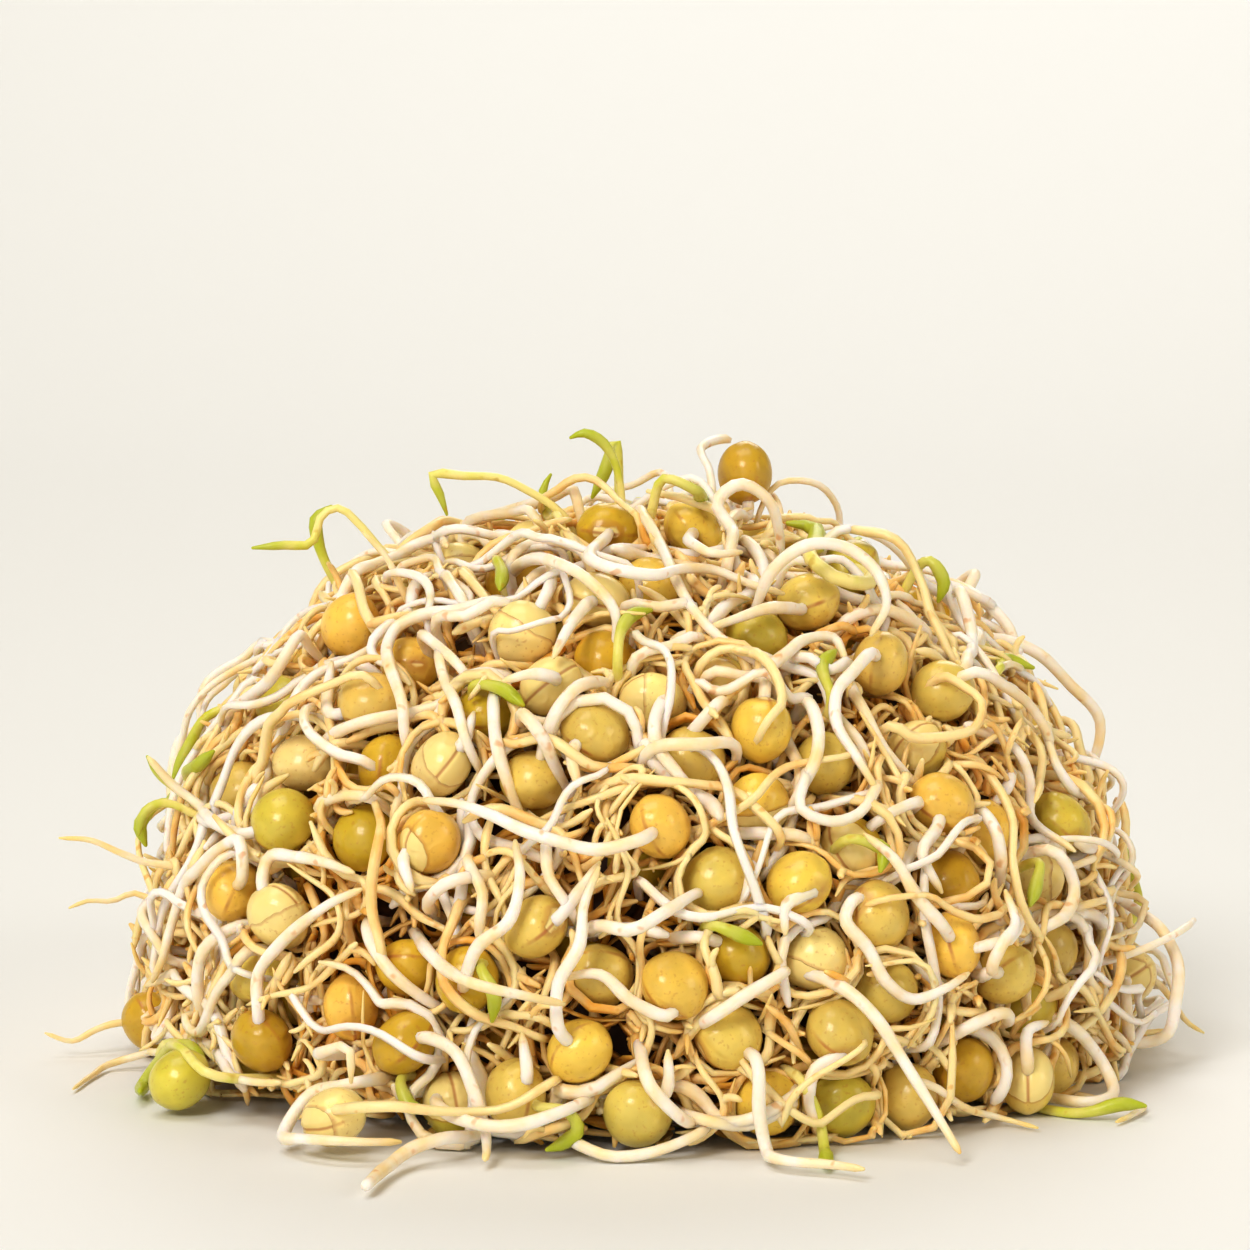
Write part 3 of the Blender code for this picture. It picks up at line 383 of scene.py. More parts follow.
def outward(points):
    """The way out of the heap at each point: the slope of its level, or up for what lies beside it."""
    side = points[..., 0] / (HEAP_WIDTH / 2)
    deep = points[..., 1] / (HEAP_LENGTH / 2)
    steep = (np.hypot(side, deep) + 1e-9) ** (HEAP_POWER - 2)
    up = (np.abs(points[..., 2]) / HEAP_HEIGHT) ** (HEAP_POWER - 1) / HEAP_HEIGHT
    slope = np.stack([steep * side / (HEAP_WIDTH / 2), steep * deep / (HEAP_LENGTH / 2), up], -1)
    beside = np.clip((heap_level(points) - BESIDE_LEVEL) / BESIDE_FADE, 0, 1)
    beside = beside * np.clip(2 - points[..., 2] / BESIDE_HEIGHT, 0, 1)
    return unit(unit(slope) * (1 - beside[..., None]) + np.array([0, 0, 1.0]) * beside[..., None])


def toward_eye(points):
    """The way to the eye from each point."""
    return unit(eye - points)


def at_depth(points, depth):
    """Each point moved in or out along its own radius until it lies depth under the heap's outside."""
    return points / heap_level(points, depth)[..., None]


def sight_line(pixel, lowest):
    """Points along the ray of a pixel, those above the lowest height."""
    aside = eye_right * (pixel[0] - FRAME / 2) + eye_up * (FRAME / 2 - pixel[1])
    ray = unit(eye_forward * focal_pixels + aside)
    points = eye + ray * np.arange(*SIGHT_RANGE, SIGHT_STEP)[:, None]
    return points[points[:, 2] > lowest]


def pairs(numbers):
    """A row of pixel positions from their x and y by turns."""
    return np.reshape(numbers, (-1, 2))


def seen(pixel, depth, lowest):
    """The point that a pixel shows: where its ray meets the dome at that depth, or for a ray that
    passes the dome by, where it comes nearest to it."""
    points = sight_line(pixel, lowest)
    level = heap_level(points, depth)
    met = level < 1
    return points[met.argmax() if met.any() else level.argmin()]


def traced(pixels, lowest, start=None):
    """The points that a row of pixels shows, on the heap's outside. A ray that passes the heap by shows
    the point nearest to the one found beside it, so a stem that leaves the heap doesn't jump away."""
    pixels = pairs(pixels)
    lines = [sight_line(pixel, lowest) for pixel in pixels]
    meets = [(heap_level(line) < 1).any() for line in lines]
    first = meets.index(True) if True in meets else 0
    if start is not None:
        first = 0
    found = {first: seen(pixels[first], 0.0, lowest)}
    if start is not None and not meets[0]:
        found[0] = lines[0][np.linalg.norm(lines[0] - start, axis=1).argmin()]
    for k in [*range(first - 1, -1, -1), *range(first + 1, len(pixels))]:
        beside = found[k + 1 if k < first else k - 1]
        apart = np.linalg.norm(lines[k] - beside, axis=1)
        found[k] = seen(pixels[k], 0.0, lowest) if meets[k] else lines[k][apart.argmin()]
    return [found[k] for k in range(len(pixels))]


def smooth_curve(points, count=None):
    """A cubic curve through the points, as count vertices, or with none given as one to each stretch."""
    points = np.asarray(points, float)
    along = np.append(0, np.cumsum(np.linalg.norm(np.diff(points, axis=0), axis=1)))
    slope = np.gradient(points, along, axis=0)
    at = np.linspace(0, along[-1], 40 * len(points))
    i = np.clip(np.searchsorted(along, at, "right") - 1, 0, len(points) - 2)
    span = (along[i + 1] - along[i])[:, None]
    u = (at - along[i])[:, None] / span
    fine = (
        (2 * u**3 - 3 * u**2 + 1) * points[i]
        + (u**3 - 2 * u**2 + u) * span * slope[i]
        + (3 * u**2 - 2 * u**3) * points[i + 1]
        + (u**3 - u**2) * span * slope[i + 1]
    )
    length = np.append(0, np.cumsum(np.linalg.norm(np.diff(fine, axis=0), axis=1)))
    count = count or max(2, round(length[-1] / STRETCH)) + 1
    at = np.linspace(0, length[-1], count)
    return np.stack([np.interp(at, length, fine[:, k]) for k in range(3)], 1)


def sampled(path):
    """Points close together along a path, and the share that each of its vertices has in them."""
    steps = math.ceil(STRETCH / SAMPLE)
    at = np.linspace(0, len(path) - 1, (len(path) - 1) * steps + 1)
    shares = np.clip(1 - np.abs(at[:, None] - np.arange(len(path))), 0, 1)
    return shares @ path, shares


def wander(rng, start, length, depth, bend):
    """A winding path over the heap at one depth. Its heading swings as the sum of two slow waves."""
    point = np.array(start, float)
    heading = unit(np.array([rng.gauss(0, 1) for _ in range(3)]))
    quick, slow = rng.uniform(-bend, bend), rng.uniform(-bend, bend)
    quick_start, slow_start = rng.uniform(0, 2 * math.pi), rng.uniform(0, 2 * math.pi)
    path = [point]
    for k in range(max(3, round(length / STRETCH))):
        way = outward(point)
        heading = unit(heading - way * (heading @ way))
        turn = quick * math.sin(0.8 * k + quick_start) + slow * math.sin(0.4 * k + slow_start)
        heading = heading * math.cos(turn) + np.cross(way, heading) * math.sin(turn)
        if point[2] < LENTIL_ACROSS:
            heading[2] = abs(heading[2])
        heading = unit(heading)
        point = at_depth(point + heading * STRETCH, depth)
        path.append(point)
    path = np.array(path)
    path[:, 2] = np.maximum(path[:, 2], ROOT_THICK)
    return path


def buried_end(point, beside):
    """A place in the dense middle, under the point but a little further on from its neighbour."""
    end = at_depth(point + (point - beside) * END_RUN, ROOT_END_DEPTH)
    end[2] = max(end[2], ROOT_THICK)
    return end


def rooted(path, free_tip):
    """The path with its ends bent down into the dense middle. A tip that is free isn't, and of the two
    ends the outer one isn't if it lies well beyond the heap."""
    level = heap_level(path[[0, -1]])
    ends = [buried_end(path[0], path[1]), buried_end(path[-1], path[-2])]
    if free_tip or level[0] < max(FREE_LEVEL, level[1]):
        path = np.vstack([ends[0], path])
    if not free_tip and level[1] < max(FREE_LEVEL, level[0]):
        path = np.vstack([path, ends[1]])
    return path


def bends(path):
    """The angle by which the path turns at each of its inner vertices."""
    run = unit(np.diff(path, axis=0))
    return np.arccos(np.clip((run[:-1] * run[1:]).sum(1), -1, 1))


def without_kinks(path, fixed):
    """The path less the vertex where it folds most sharply, or where two of them nearly meet."""
    length = np.linalg.norm(np.diff(path, axis=0), axis=1)
    bend = bends(path)
    bend[np.minimum(length[:-1], length[1:]) < SHORTEST_STRETCH] = math.pi
    bend[: max(fixed - 1, 0)] = 0
    if len(path) < 4 or bend.max() < SHARPEST_BEND:
        return path
    return np.delete(path, bend.argmax() + 1, 0)


class Room:
    """The room that lentils, shoots and roots take up, as balls."""

    def __init__(self):
        self.centres = np.zeros((0, 3))
        self.radii = np.zeros(0)

    def add(self, centres, radius):
        """Takes up a ball round each centre."""
        self.centres = np.vstack([self.centres, centres])
        self.radii = np.append(self.radii, np.full(len(centres), radius))

    def only(self, kept):
        """The room that these of its balls take up."""
        rest = Room()
        rest.centres, rest.radii = self.centres[kept], self.radii[kept]
        return rest

    def near(self, path):
        """The same room less the balls that lie far from the path."""
        apart = np.maximum(path.min(0) - self.centres, self.centres - path.max(0)).max(1)
        return self.only(apart < REACH)

    def lifted(self, path, radius, way_at):
        """The path raised in gentle humps, to pass over what lies there. It rises the way given for
        each point."""
        self = self.near(path)
        points, shares = sampled(path)
        way = way_at(points)
        to_ball = self.centres[None] - points[:, None]
        rise = np.einsum("ijk,ik->ij", to_ball, way)
        aside = np.maximum((to_ball**2).sum(-1) - rise**2, 0)
        reach = (self.radii + radius + GAP)[None]
        need = np.where(aside < reach**2, rise + np.sqrt(np.maximum(reach**2 - aside, 0)), -1)
        need = np.where(need < HIGHEST_LIFT * LENTIL_ACROSS, need, -1).max(1)
        apart = np.linalg.norm(points[:, None] - points[None], axis=-1)
        humps = np.maximum((need[None] - apart**2 / (2 * LENTIL_ACROSS)).max(1), 0)
        lift = np.where(shares > 0, humps[:, None], 0).max(0)
        return path + way_at(path) * lift[:, None]

    def cleared(self, path, radius, fixed):
        """The path pushed clear, and eased wherever that folds it sharply. The first fixed vertices
        stay."""
        self = self.near(path)
        for _ in range(CLEAR_ROUNDS):
            path = self.pushed(path, radius, fixed)
            eased = without_kinks(path, fixed)
            if len(eased) == len(path):
                break
            path = eased
        return self.pushed(path, radius, fixed)

    def holds(self, path, radius):
        """Whether the room takes the path in with most of its clearance."""
        points, _ = sampled(path)
        far = np.linalg.norm(points[:, None] - self.centres[None], axis=-1)
        return (far - self.radii[None] - radius).min() > LEAST_CLEARANCE * GAP

    def pushed(self, path, radius, fixed):
        """The path pushed aside, vertex by vertex, until it is clear."""
        path = path.copy()
        for _ in range(PUSH_ROUNDS):
            path[:, 2] = np.maximum(path[:, 2], radius + GAP)
            points, shares = sampled(path)
            apart = points[:, None] - self.centres[None]
            far = np.linalg.norm(apart, axis=-1)
            room = far - (self.radii + radius + GAP)[None]
            room[shares[:, fixed:].sum(1) < 0.5] = 1
            rows = np.arange(len(points))
            near = room.argmin(1)
            lack = np.maximum(-room[rows, near], 0)
            if lack.max() < CLOSE_ENOUGH:
                break
            push = apart[rows, near] / far[rows, near][:, None] * lack[:, None]
            moved = (shares * (lack > 0)[:, None]).sum(0)
            path[fixed:] += (shares.T @ push / np.maximum(moved, 0.3)[:, None])[fixed:] * PUSH_STEP
            middle = (path[:-2] + path[2:]) / 2 - path[1:-1]
            still = max(fixed, 1)
            path[still:-1] += middle[still - 1 :] * EASE_STEP
        return path


def spread_apart(centres, depths, holds, apart):
    """Moves points over the heap until each pair is that far apart. The higher its hold, the less a
    point moves. Those on the heap keep their depth, and those beside it stay on the ground."""
    centres = centres.copy()
    on_heap = heap_level(centres) < ON_HEAP_LEVEL
    give = FREE_GIVE - holds
    share = give[:, None] / (give[:, None] + give[None])
    for _ in range(SPREAD_ROUNDS):
        between = centres[:, None] - centres[None]
        far = np.linalg.norm(between, axis=-1) + np.eye(len(centres))
        lack = np.maximum(apart - far, 0) * (1 - np.eye(len(centres)))
        centres += (between / far[..., None] * (lack * share)[..., None]).sum(1) * SPREAD_STEP
        centres[on_heap] /= heap_level(centres[on_heap], depths[on_heap])[:, None]
        centres[:, 2] = np.maximum(centres[:, 2], LENTIL_ACROSS / 2 + GAP)
    return centres


def back_places(rng, taken, count, lowest):
    """Places over the sides that face away from the eye, no closer together than the back spacing."""
    found = []
    for _ in range(BACK_TRIES):
        turn = rng.uniform(0, 2 * math.pi)
        rise = math.asin(rng.uniform(0.02, 1))
        way = np.array([math.cos(rise) * math.cos(turn), math.cos(rise) * math.sin(turn), math.sin(rise)])
        point = at_depth(way, LENTIL_DEPTH)
        point[2] = max(point[2], lowest)
        if outward(point) @ unit(eye - point) > TURNED_AWAY:
            continue
        if np.linalg.norm(np.array([*taken, *found]) - point, axis=1).min() > BACK_SPACING:
            found.append(point)
            if len(found) == count:
                break
    return found


def place_lentils(rng):
    """Centres of the outer sprouts' lentils and of the buried ones, with no two of them touching."""
    lowest = LENTIL_ACROSS / 2 + GAP
    outer = [seen(pixels[:2], LENTIL_DEPTH, lowest) for _, pixels in OUTER_SPROUTS]
    buried = [seen(pixel, BURIED_DEPTH, lowest) for pixel in pairs(BURIED_LENTILS)]
    behind = back_places(rng, outer + buried, BACK_SPROUTS + BACK_BURIED, lowest)
    outer += behind[:BACK_SPROUTS]
    buried += behind[BACK_SPROUTS:]
    centres = np.array(outer + buried)
    is_outer = np.arange(len(centres)) < len(outer)
    depths = np.where(is_outer, LENTIL_DEPTH, BURIED_DEPTH)
    holds = np.where(is_outer, OUTER_HOLD, BURIED_HOLD)
    centres = spread_apart(centres, depths, holds, LENTIL_ACROSS * CORNER + 2 * GAP)
    return centres[is_outer], centres[~is_outer]


def lay_sprout(rng, number, centre, room):
    """One outer sprout: its coat, its lentil's centre and flat way, and the path of its shoot."""
    if number < len(OUTER_SPROUTS):
        coat, pixels = OUTER_SPROUTS[number]
        shoot = smooth_curve([centre, *traced(pixels[2:], SHOOT_THICK / 2, centre)])
        way_at = toward_eye
    else:
        coat = rng.choice(list(COATS))
        shoot = wander(rng, centre, rng.uniform(*BACK_SHOOT_LENGTHS), 0.0, SHOOT_SWING)
        shoot[0] = centre
        way_at = outward
    others = room.only(np.linalg.norm(room.centres - centre, axis=1) > 1e-6)
    shoot[1:] = others.lifted(shoot, SHOOT_THICK / 2, way_at)[1:]
    shoot = others.cleared(shoot, SHOOT_THICK / 2, 1)
    flat_way = unit(outward(centre) + LENTIL_TILT * np.array([rng.gauss(0, 1) for _ in range(3)]))
    start_way = unit(shoot[1] - centre)
    flat_way = unit(flat_way - start_way * (flat_way @ start_way))
    return {"coat": coat, "centre": centre, "flat_way": flat_way, "shoot": shoot}


def stem_routes(rng, outer):
    """Routes of the tangle's shoots and roots before they are bent clear, with their thickness, the way
    that they are lifted, and whether their tips are free."""
    routes = []
    for pixels in LOOSE_SHOOTS:
        routes.append((smooth_curve(traced(pixels, SHOOT_THICK / 2)), SHOOT_THICK, toward_eye, False))
    for pixels in THIN_ENDS:
        routes.append((smooth_curve(traced(pixels, ROOT_THICK / 2)), ROOT_THICK, toward_eye, True))
    for start in back_places(rng, outer[:1], BACK_SHOOTS, SHOOT_THICK):
        length = rng.uniform(*BACK_SHOOT_LENGTHS)
        routes.append((wander(rng, start, length, 0.0, SHOOT_SWING), SHOOT_THICK, outward, False))
    for start in back_places(rng, outer[:1], ROOT_LOOPS, ROOT_THICK):
        route = wander(rng, start, rng.uniform(*ROOT_LENGTHS), ROOT_DEPTH, ROOT_SWING)
        routes.append((route, ROOT_THICK, outward, False))
    return routes


def lay_out():
    """The whole heap as plain numbers: the outer sprouts, the buried lentils and the tangle's stems.
    What is laid later bends clear of what is there already."""
    rng = random.Random(SEED)
    outer, buried = place_lentils(rng)
    everything = Room()
    everything.add(np.vstack([outer, buried]), LENTIL_ACROSS / 2 * CORNER)
    outer_room = Room()
    outer_room.add(outer, LENTIL_ACROSS / 2 * CORNER)
    sprouts = []
    for number, centre in enumerate(outer):
        sprout = lay_sprout(rng, number, centre, everything)
        sprouts.append(sprout)
        body = sampled(sprout["shoot"])[0][4:]
        everything.add(body, SHOOT_THICK / 2 * SHOOT_MARGIN)
        outer_room.add(body, SHOOT_THICK / 2 * SHOOT_MARGIN)
    stems = []
    for row, (route, thick, way_at, free_tip) in enumerate(stem_routes(rng, outer)):
        wide = thick / 2 * STEM_MARGIN
        path = rooted(everything.lifted(route, thick / 2, way_at), free_tip)
        path = outer_room.cleared(path, wide, 0)
        for _ in range(RELIFTS):
            if not outer_room.holds(path, wide):
                path = outer_room.cleared(outer_room.lifted(path, wide, way_at), wide, 0)
        if outer_room.holds(path, wide) and bends(path).max() < FOLDED:
            stems.append({"path": path, "thick": thick, "row": row})
            everything.add(sampled(path)[0], thick / 2)
    return sprouts, buried, stems


sprouts, buried_lentils, stems = lay_out()
draws = np.random.default_rng(SEED)

# The dark middle. Behind the sprouts that show, the mat goes on inwards, wet and shaded. It is a lumpy
# dome with a flat foot that stands for all that no gap lets out, coloured deep warm brown as painted shade.
DARK_DEPTH = 0.0098
DARK_LUMPS = 0.0008
DARK_FOOT = 0.0024
DARK_STRANDS = 0.0012
# Painted shade: the two browns of the dark middle, mid and very dark.
PAINTED_SHADE_BROWN = "8E5718"
PAINTED_SHADE_DARK_BROWN = "3A1D04"


def closed_faces(rings, sides):
    """Faces of a form that is a pole, then rings of points, then a pole: quads between the rings, and
    triangles round the poles. They point out where the rings turn to the right as seen going forward."""
    k = np.arange(sides)
    on = (k + 1) % sides
    rows = 1 + np.arange(rings - 1)[:, None] * sides
    quads = np.stack([rows + k, rows + on, rows + sides + on, rows + sides + k], -1).reshape(-1, 4)
    last = 1 + rings * sides
    first_caps = np.stack([0 * k, 1 + on, 1 + k], -1)
    last_caps = np.stack([0 * k + last, last - sides + k, last - sides + on], -1)
    return quads, np.vstack([first_caps, last_caps])


def many(points, places, marks, rings, sides, kind=0):
    """One form for each row of points, all with the same rings and sides, gathered as one. Each point has
    a place in its own form, and marks that its material reads. The kind is the number of its material."""
    quads, caps = closed_faces(rings, sides)
    first = np.arange(len(points))[:, None, None] * points.shape[1]
    return {
        "points": points.reshape(-1, 3),
        "places": np.broadcast_to(places, points.shape).reshape(-1, 3),
        "marks": np.broadcast_to(marks, points.shape).reshape(-1, 3),
        "quads": (first + quads).reshape(-1, 4),
        "caps": (first + caps).reshape(-1, 3),
        "kind": kind,
    }


def piece_of(name, forms, materials, slot, *nodes):
    """A smooth piece made of forms. It rides on the heap's one body and stands for the nodes."""
    first = np.cumsum([0] + [len(form["points"]) for form in forms])
    quads = np.vstack([form["quads"] + at for form, at in zip(forms, first)])
    caps = np.vstack([form["caps"] + at for form, at in zip(forms, first)])
    kinds = [np.full(len(form[part]), form["kind"]) for part in ("quads", "caps") for form in forms]
    mesh = bpy.data.meshes.new(name)
    mesh.vertices.add(first[-1])
    mesh.vertices.foreach_set("co", np.vstack([form["points"] for form in forms]).ravel())
    mesh.loops.add(quads.size + caps.size)
    mesh.loops.foreach_set("vertex_index", np.append(quads, caps).astype(np.int32))
    starts = np.append(np.arange(len(quads)) * 4, quads.size + np.arange(len(caps)) * 3)
    mesh.polygons.add(len(starts))
    mesh.polygons.foreach_set("loop_start", starts.astype(np.int32))
    mesh.polygons.foreach_set("material_index", np.concatenate(kinds).astype(np.int32))
    mesh.update(calc_edges=True)
    mesh.shade_smooth()
    for mark in ("places", "marks"):
        values = np.vstack([form[mark] for form in forms])
        mesh.attributes.new(mark, "FLOAT_VECTOR", "POINT").data.foreach_set("vector", values.ravel())
    for material in materials:
        mesh.materials.append(material)
    piece = bpy.data.objects.new(name, mesh)
    bpy.context.scene.collection.objects.link(piece)
    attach(piece, "root")
    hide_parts(*nodes)


def dome_points(rings, sides, depth, lumps):
    """A dome from its foot's middle to its top. Ring by ring it rises by equal angles, and each point
    is pushed in or out by the product of two sines of its angles."""
    rise = np.linspace(0, math.pi / 2, rings + 2)[:-1][:, None]
    turn = np.arange(sides)[None] / sides * 2 * math.pi
    ways = np.stack([np.cos(rise) * np.cos(turn), np.cos(rise) * np.sin(turn), np.sin(rise) + 0 * turn], -1)
    points = at_depth(ways, depth + lumps * np.sin(9 * turn + 4 * rise) * np.sin(14 * rise + 2 * turn))
    points[0] *= 0.985
    points[..., 2] = np.maximum(points[..., 2], DARK_FOOT)
    return np.vstack([[[0, 0, DARK_FOOT]], points.reshape(-1, 3), [[0, 0, HEAP_HEIGHT - depth]]])


def mixed(tree, share, first, second):
    """A colour between two, with that share of the second."""
    links = {"Factor": share, "A": first, "B": second}
    return add(tree, "ShaderNodeMix", {"data_type": "RGBA"}, links)["Result"]


def painted_shade_mat():
    """Roots deep in the wet mat, with their shade painted in: mid to very dark brown, in strands about a
    root across.
    """
    material, tree, shader = new_material("painted_shade_root_mat")
    strand = noise(tree, 0.3 / DARK_STRANDS, 2.0, "RIDGED_MULTIFRACTAL", 1.5)
    feed(tree, shader, {"Base Color": mixed(tree, strand, linear(PAINTED_SHADE_DARK_BROWN), linear(PAINTED_SHADE_BROWN)),
                        "Normal": relief(tree, strand, 0.0008), "Roughness": 0.6})
    return material


dark_dome = dome_points(24, 72, DARK_DEPTH, DARK_LUMPS)
dark_form = many(dark_dome[None], dark_dome[None], np.zeros(3), 25, 72)
piece_of("tangle_middle", [dark_form], [painted_shade_mat()], "tangle", "sprout_tangle")

# The lentils. Each is a lens-shaped seed, swollen with water: a thin smooth coat, khaki to amber, over
# two pale yellow halves. Where the root has pushed out at the rim the coat is creased and browned, and
# on some it is torn, so the halves show with the cleft between them. Some have shed it altogether.
KEEL = 0.03
KEEL_WIDTH = 0.20
BASE_NOTCH = 0.07
CLEFT = 0.075
CLEFT_WIDTH = 0.07
CLEFT_FROM = 0.35
LENTIL_WAVES = 0.018
LENS_POWER = 0.9
RIM_CROWDING = 0.45
NOTCH_WIDTH = 0.06
COAT_PATCHES = 0.0026
COAT_SPECKS = 0.00045
COAT_CREASES = 0.0011
COAT_THICKNESS = 0.00012
FLESH = "F5E096"
# The brown of specks, the seam and torn edges, also used as painted shade in the cleft.
TORN_BROWN_AND_CLEFT_SHADE = "B9713A"
SPLIT_SHARE = 0.16
SHED_COAT = "pale"


def lens_points(centres, flat_ways, root_ways, across, thick, split, rings, sides):
    """Points of many lentils, and their places in each one's own frame, whose x points at its root. With
    b from pole to pole and a round the rim, side = sin(b) ** LENS_POWER with a slight keel at the rim and a
    notch at the root, height = cos(b). A split one has a cleft round the rim by the root, and each has
    three slow waves of its own."""
    t = (np.arange(rings) + 0.5) / rings
    b = math.pi * (t + RIM_CROWDING * np.sin(2 * math.pi * t) / (2 * math.pi))
    a = np.arange(sides) / sides * 2 * math.pi
    by_root = np.exp(-(1 - np.cos(a)) / NOTCH_WIDTH)[None] * np.sin(b)[:, None] ** 4
    side = np.sin(b) ** LENS_POWER * (1 + KEEL * np.exp(-(((b - math.pi / 2) / KEEL_WIDTH) ** 2)))
    side = side[:, None] * (1 - BASE_NOTCH * by_root)
    grid = np.stack([side * np.cos(a), side * np.sin(a), -np.cos(b)[:, None] + 0 * side], -1)
    grid = np.vstack([[0, 0, -1.0], grid.reshape(-1, 3), [0, 0, 1.0]])
    near_cleft = np.exp(-((grid[:, 2] / CLEFT_WIDTH) ** 2)) * np.clip(CLEFT_FROM + grid[:, 0], 0, 1)
    slow = draws.normal(0, 1.5, (len(centres), 3, 3))
    start = draws.uniform(0, 2 * math.pi, (len(centres), 1, 3))
    waves = np.sin(np.einsum("pc,nwc->npw", grid, slow) + start).sum(-1)
    reach = 1 + LENTIL_WAVES * waves - CLEFT * split[:, None] * near_cleft[None]
    grid = grid[None] * reach[..., None]
    w = unit(flat_ways)
    u = unit(root_ways - w * (root_ways * w).sum(-1, keepdims=True))
    frame_ways = np.stack([u, np.cross(w, u), w], 1) * np.stack([across, across, thick], -1)[..., None] / 2
    return centres[:, None] + grid @ frame_ways, grid


def own_mark(tree, name):
    """The three parts of a mark that the piece's points carry."""
    mark = add(tree, "ShaderNodeAttribute", {"attribute_name": name}, {})["Vector"]
    return add(tree, "ShaderNodeSeparateXYZ", {}, {"Vector": mark})


def maths(tree, operation, *values, clamp=False):
    """The outcome of one operation on these values."""
    settings = {"operation": operation, "use_clamp": clamp}
    return add(tree, "ShaderNodeMath", settings, dict(enumerate(values)))["Value"]


def ranged(tree, value, low, high, to_low, to_high, kind="LINEAR"):
    """The value carried from one range to another and kept inside it, in a straight line or smoothly."""
    links = {"Value": value, "From Min": low, "From Max": high, "To Min": to_low, "To Max": to_high}
    return add(tree, "ShaderNodeMapRange", {"interpolation_type": kind}, links)["Result"]


def coat_material(name, colour):
    """A lentil's wet coat: thin, smooth and slightly see-through over pale flesh, so light goes a little
    way in. Its colour is mottled over a few millimetres with fine darker specks. Towards the root it is
    creased, and browned along the seam between the halves. Beyond a limit there it is torn away, with a
    brown edge, and shows the flesh, with brown painted into the cleft as painted shade."""
    material, tree, shader = new_material(name)
    local, marks = own_mark(tree, "places"), own_mark(tree, "marks")
    brown = linear(TORN_BROWN_AND_CLEFT_SHADE)
    patches = noise(tree, 1 / COAT_PATCHES, 2.0)
    by_root = ranged(tree, local["X"], 0.05, 0.90, 0.0, 1.0, "SMOOTHSTEP")
    off_seam = maths(tree, "ABSOLUTE", local["Z"])

    shade = maths(tree, "MULTIPLY", ranged(tree, patches, 0.32, 0.68, 0.90, 1.07),
                  ranged(tree, marks["X"], 0.0, 1.0, 0.86, 1.06))
    hue = ranged(tree, marks["Y"], 0.0, 1.0, 0.490, 0.508)
    links = {"Color": linear(colour), "Value": shade, "Hue": hue}
    coat = add(tree, "ShaderNodeHueSaturation", {}, links)["Color"]
    specks = ranged(tree, noise(tree, 1 / COAT_SPECKS, 1.0), 0.62, 0.74, 0.0, 0.30)
    coat = mixed(tree, specks, coat, brown)
    seam = maths(tree, "MULTIPLY", ranged(tree, off_seam, 0.015, 0.11, 0.85, 0.0, "SMOOTHSTEP"), by_root)
    seam = maths(tree, "MULTIPLY", seam, ranged(tree, patches, 0.40, 0.62, 0.1, 1.0))
    coat = mixed(tree, seam, coat, brown)

    ragged = maths(tree, "MULTIPLY_ADD", patches, 0.30, local["X"])
    beyond = maths(tree, "SUBTRACT", ragged, ranged(tree, marks["Z"], 0.0, 1.0, 1.25, 0.0))
    torn = ranged(tree, beyond, 0.0, 0.03, 0.0, 1.0, "SMOOTHSTEP")
    coat = mixed(tree, ranged(tree, beyond, -0.10, 0.0, 0.0, 0.45, "SMOOTHSTEP"), coat, brown)
    # Painted shade: the flesh darkens to brown towards the cleft between the halves.
    flesh = mixed(tree, ranged(tree, off_seam, 0.02, 0.08, 0.7, 0.0), linear(FLESH), brown)

    creases = noise(tree, 0.5 / COAT_CREASES, 1.5, "RIDGED_MULTIFRACTAL", 0.9)
    creases = maths(tree, "MULTIPLY", creases, ranged(tree, by_root, 0.0, 1.0, 0.40, 1.0))
    normal = relief(tree, torn, COAT_THICKNESS, invert=True)
    normal = relief(tree, creases, 2 * COAT_THICKNESS, 1.0, normal)
    normal = relief(tree, patches, 2 * COAT_THICKNESS, 0.5, normal)
    feed(tree, shader, {"Base Color": mixed(tree, torn, coat, flesh), "Normal": normal, "Roughness": 0.36,
                        "IOR": 1.38, "Coat Weight": 0.4, "Coat Roughness": 0.13, "Subsurface Weight": 0.20,
                        "Subsurface Radius": (1.0, 0.65, 0.3), "Subsurface Scale": 0.0012})
    return material


coat_materials = {name: coat_material(f"wet_{name}_lentil_coat", code) for name, code in COATS.items()}


def lentils(coat, centres, flat_ways, root_ways, across, thick, rings, sides):
    """Lentils of one coat at these centres, with random shade and hue. Some are split, and torn."""
    count = len(centres)
    split = (draws.uniform(0, 1, count) < (1.0 if coat == SHED_COAT else SPLIT_SHARE)).astype(float)
    points, places = lens_points(centres, flat_ways, root_ways, across, thick, split, rings, sides)
    tear = np.where(split > 0, draws.uniform(0.35, 0.95, count), draws.uniform(0, 0.15, count))
    marks = np.stack([draws.uniform(0, 1, count), draws.uniform(0, 1, count), tear], -1)
    return many(points, places, marks[:, None], rings, sides)


# Shoots. Each is a white, wet, slightly glassy stem, round and full, that thins to its tip. It is amber
# at the seed, where it has broken through the coat, and cream to yellow at the tip. The form is a round
# profile carried along a smooth path.
SHOOT_RINGS_A_STRETCH = 5
SHOOT_SIDES = 9
SHOOT_PATCHES = 0.0045
SHOOT_FIBRES = 0.00035
SHOOT_SPOTS = 0.0016
SHOOT_ROUND = 0.86
SHOOT_SWELLINGS = 0.06
STAIN_REACH = 0.6
SHOOT_WHITE = "FBF2EA"
SHOOT_CREAM = "F9DCA0"
SHOOT_TIP = "F4D688"
SHOOT_STAIN = "DE9C42"


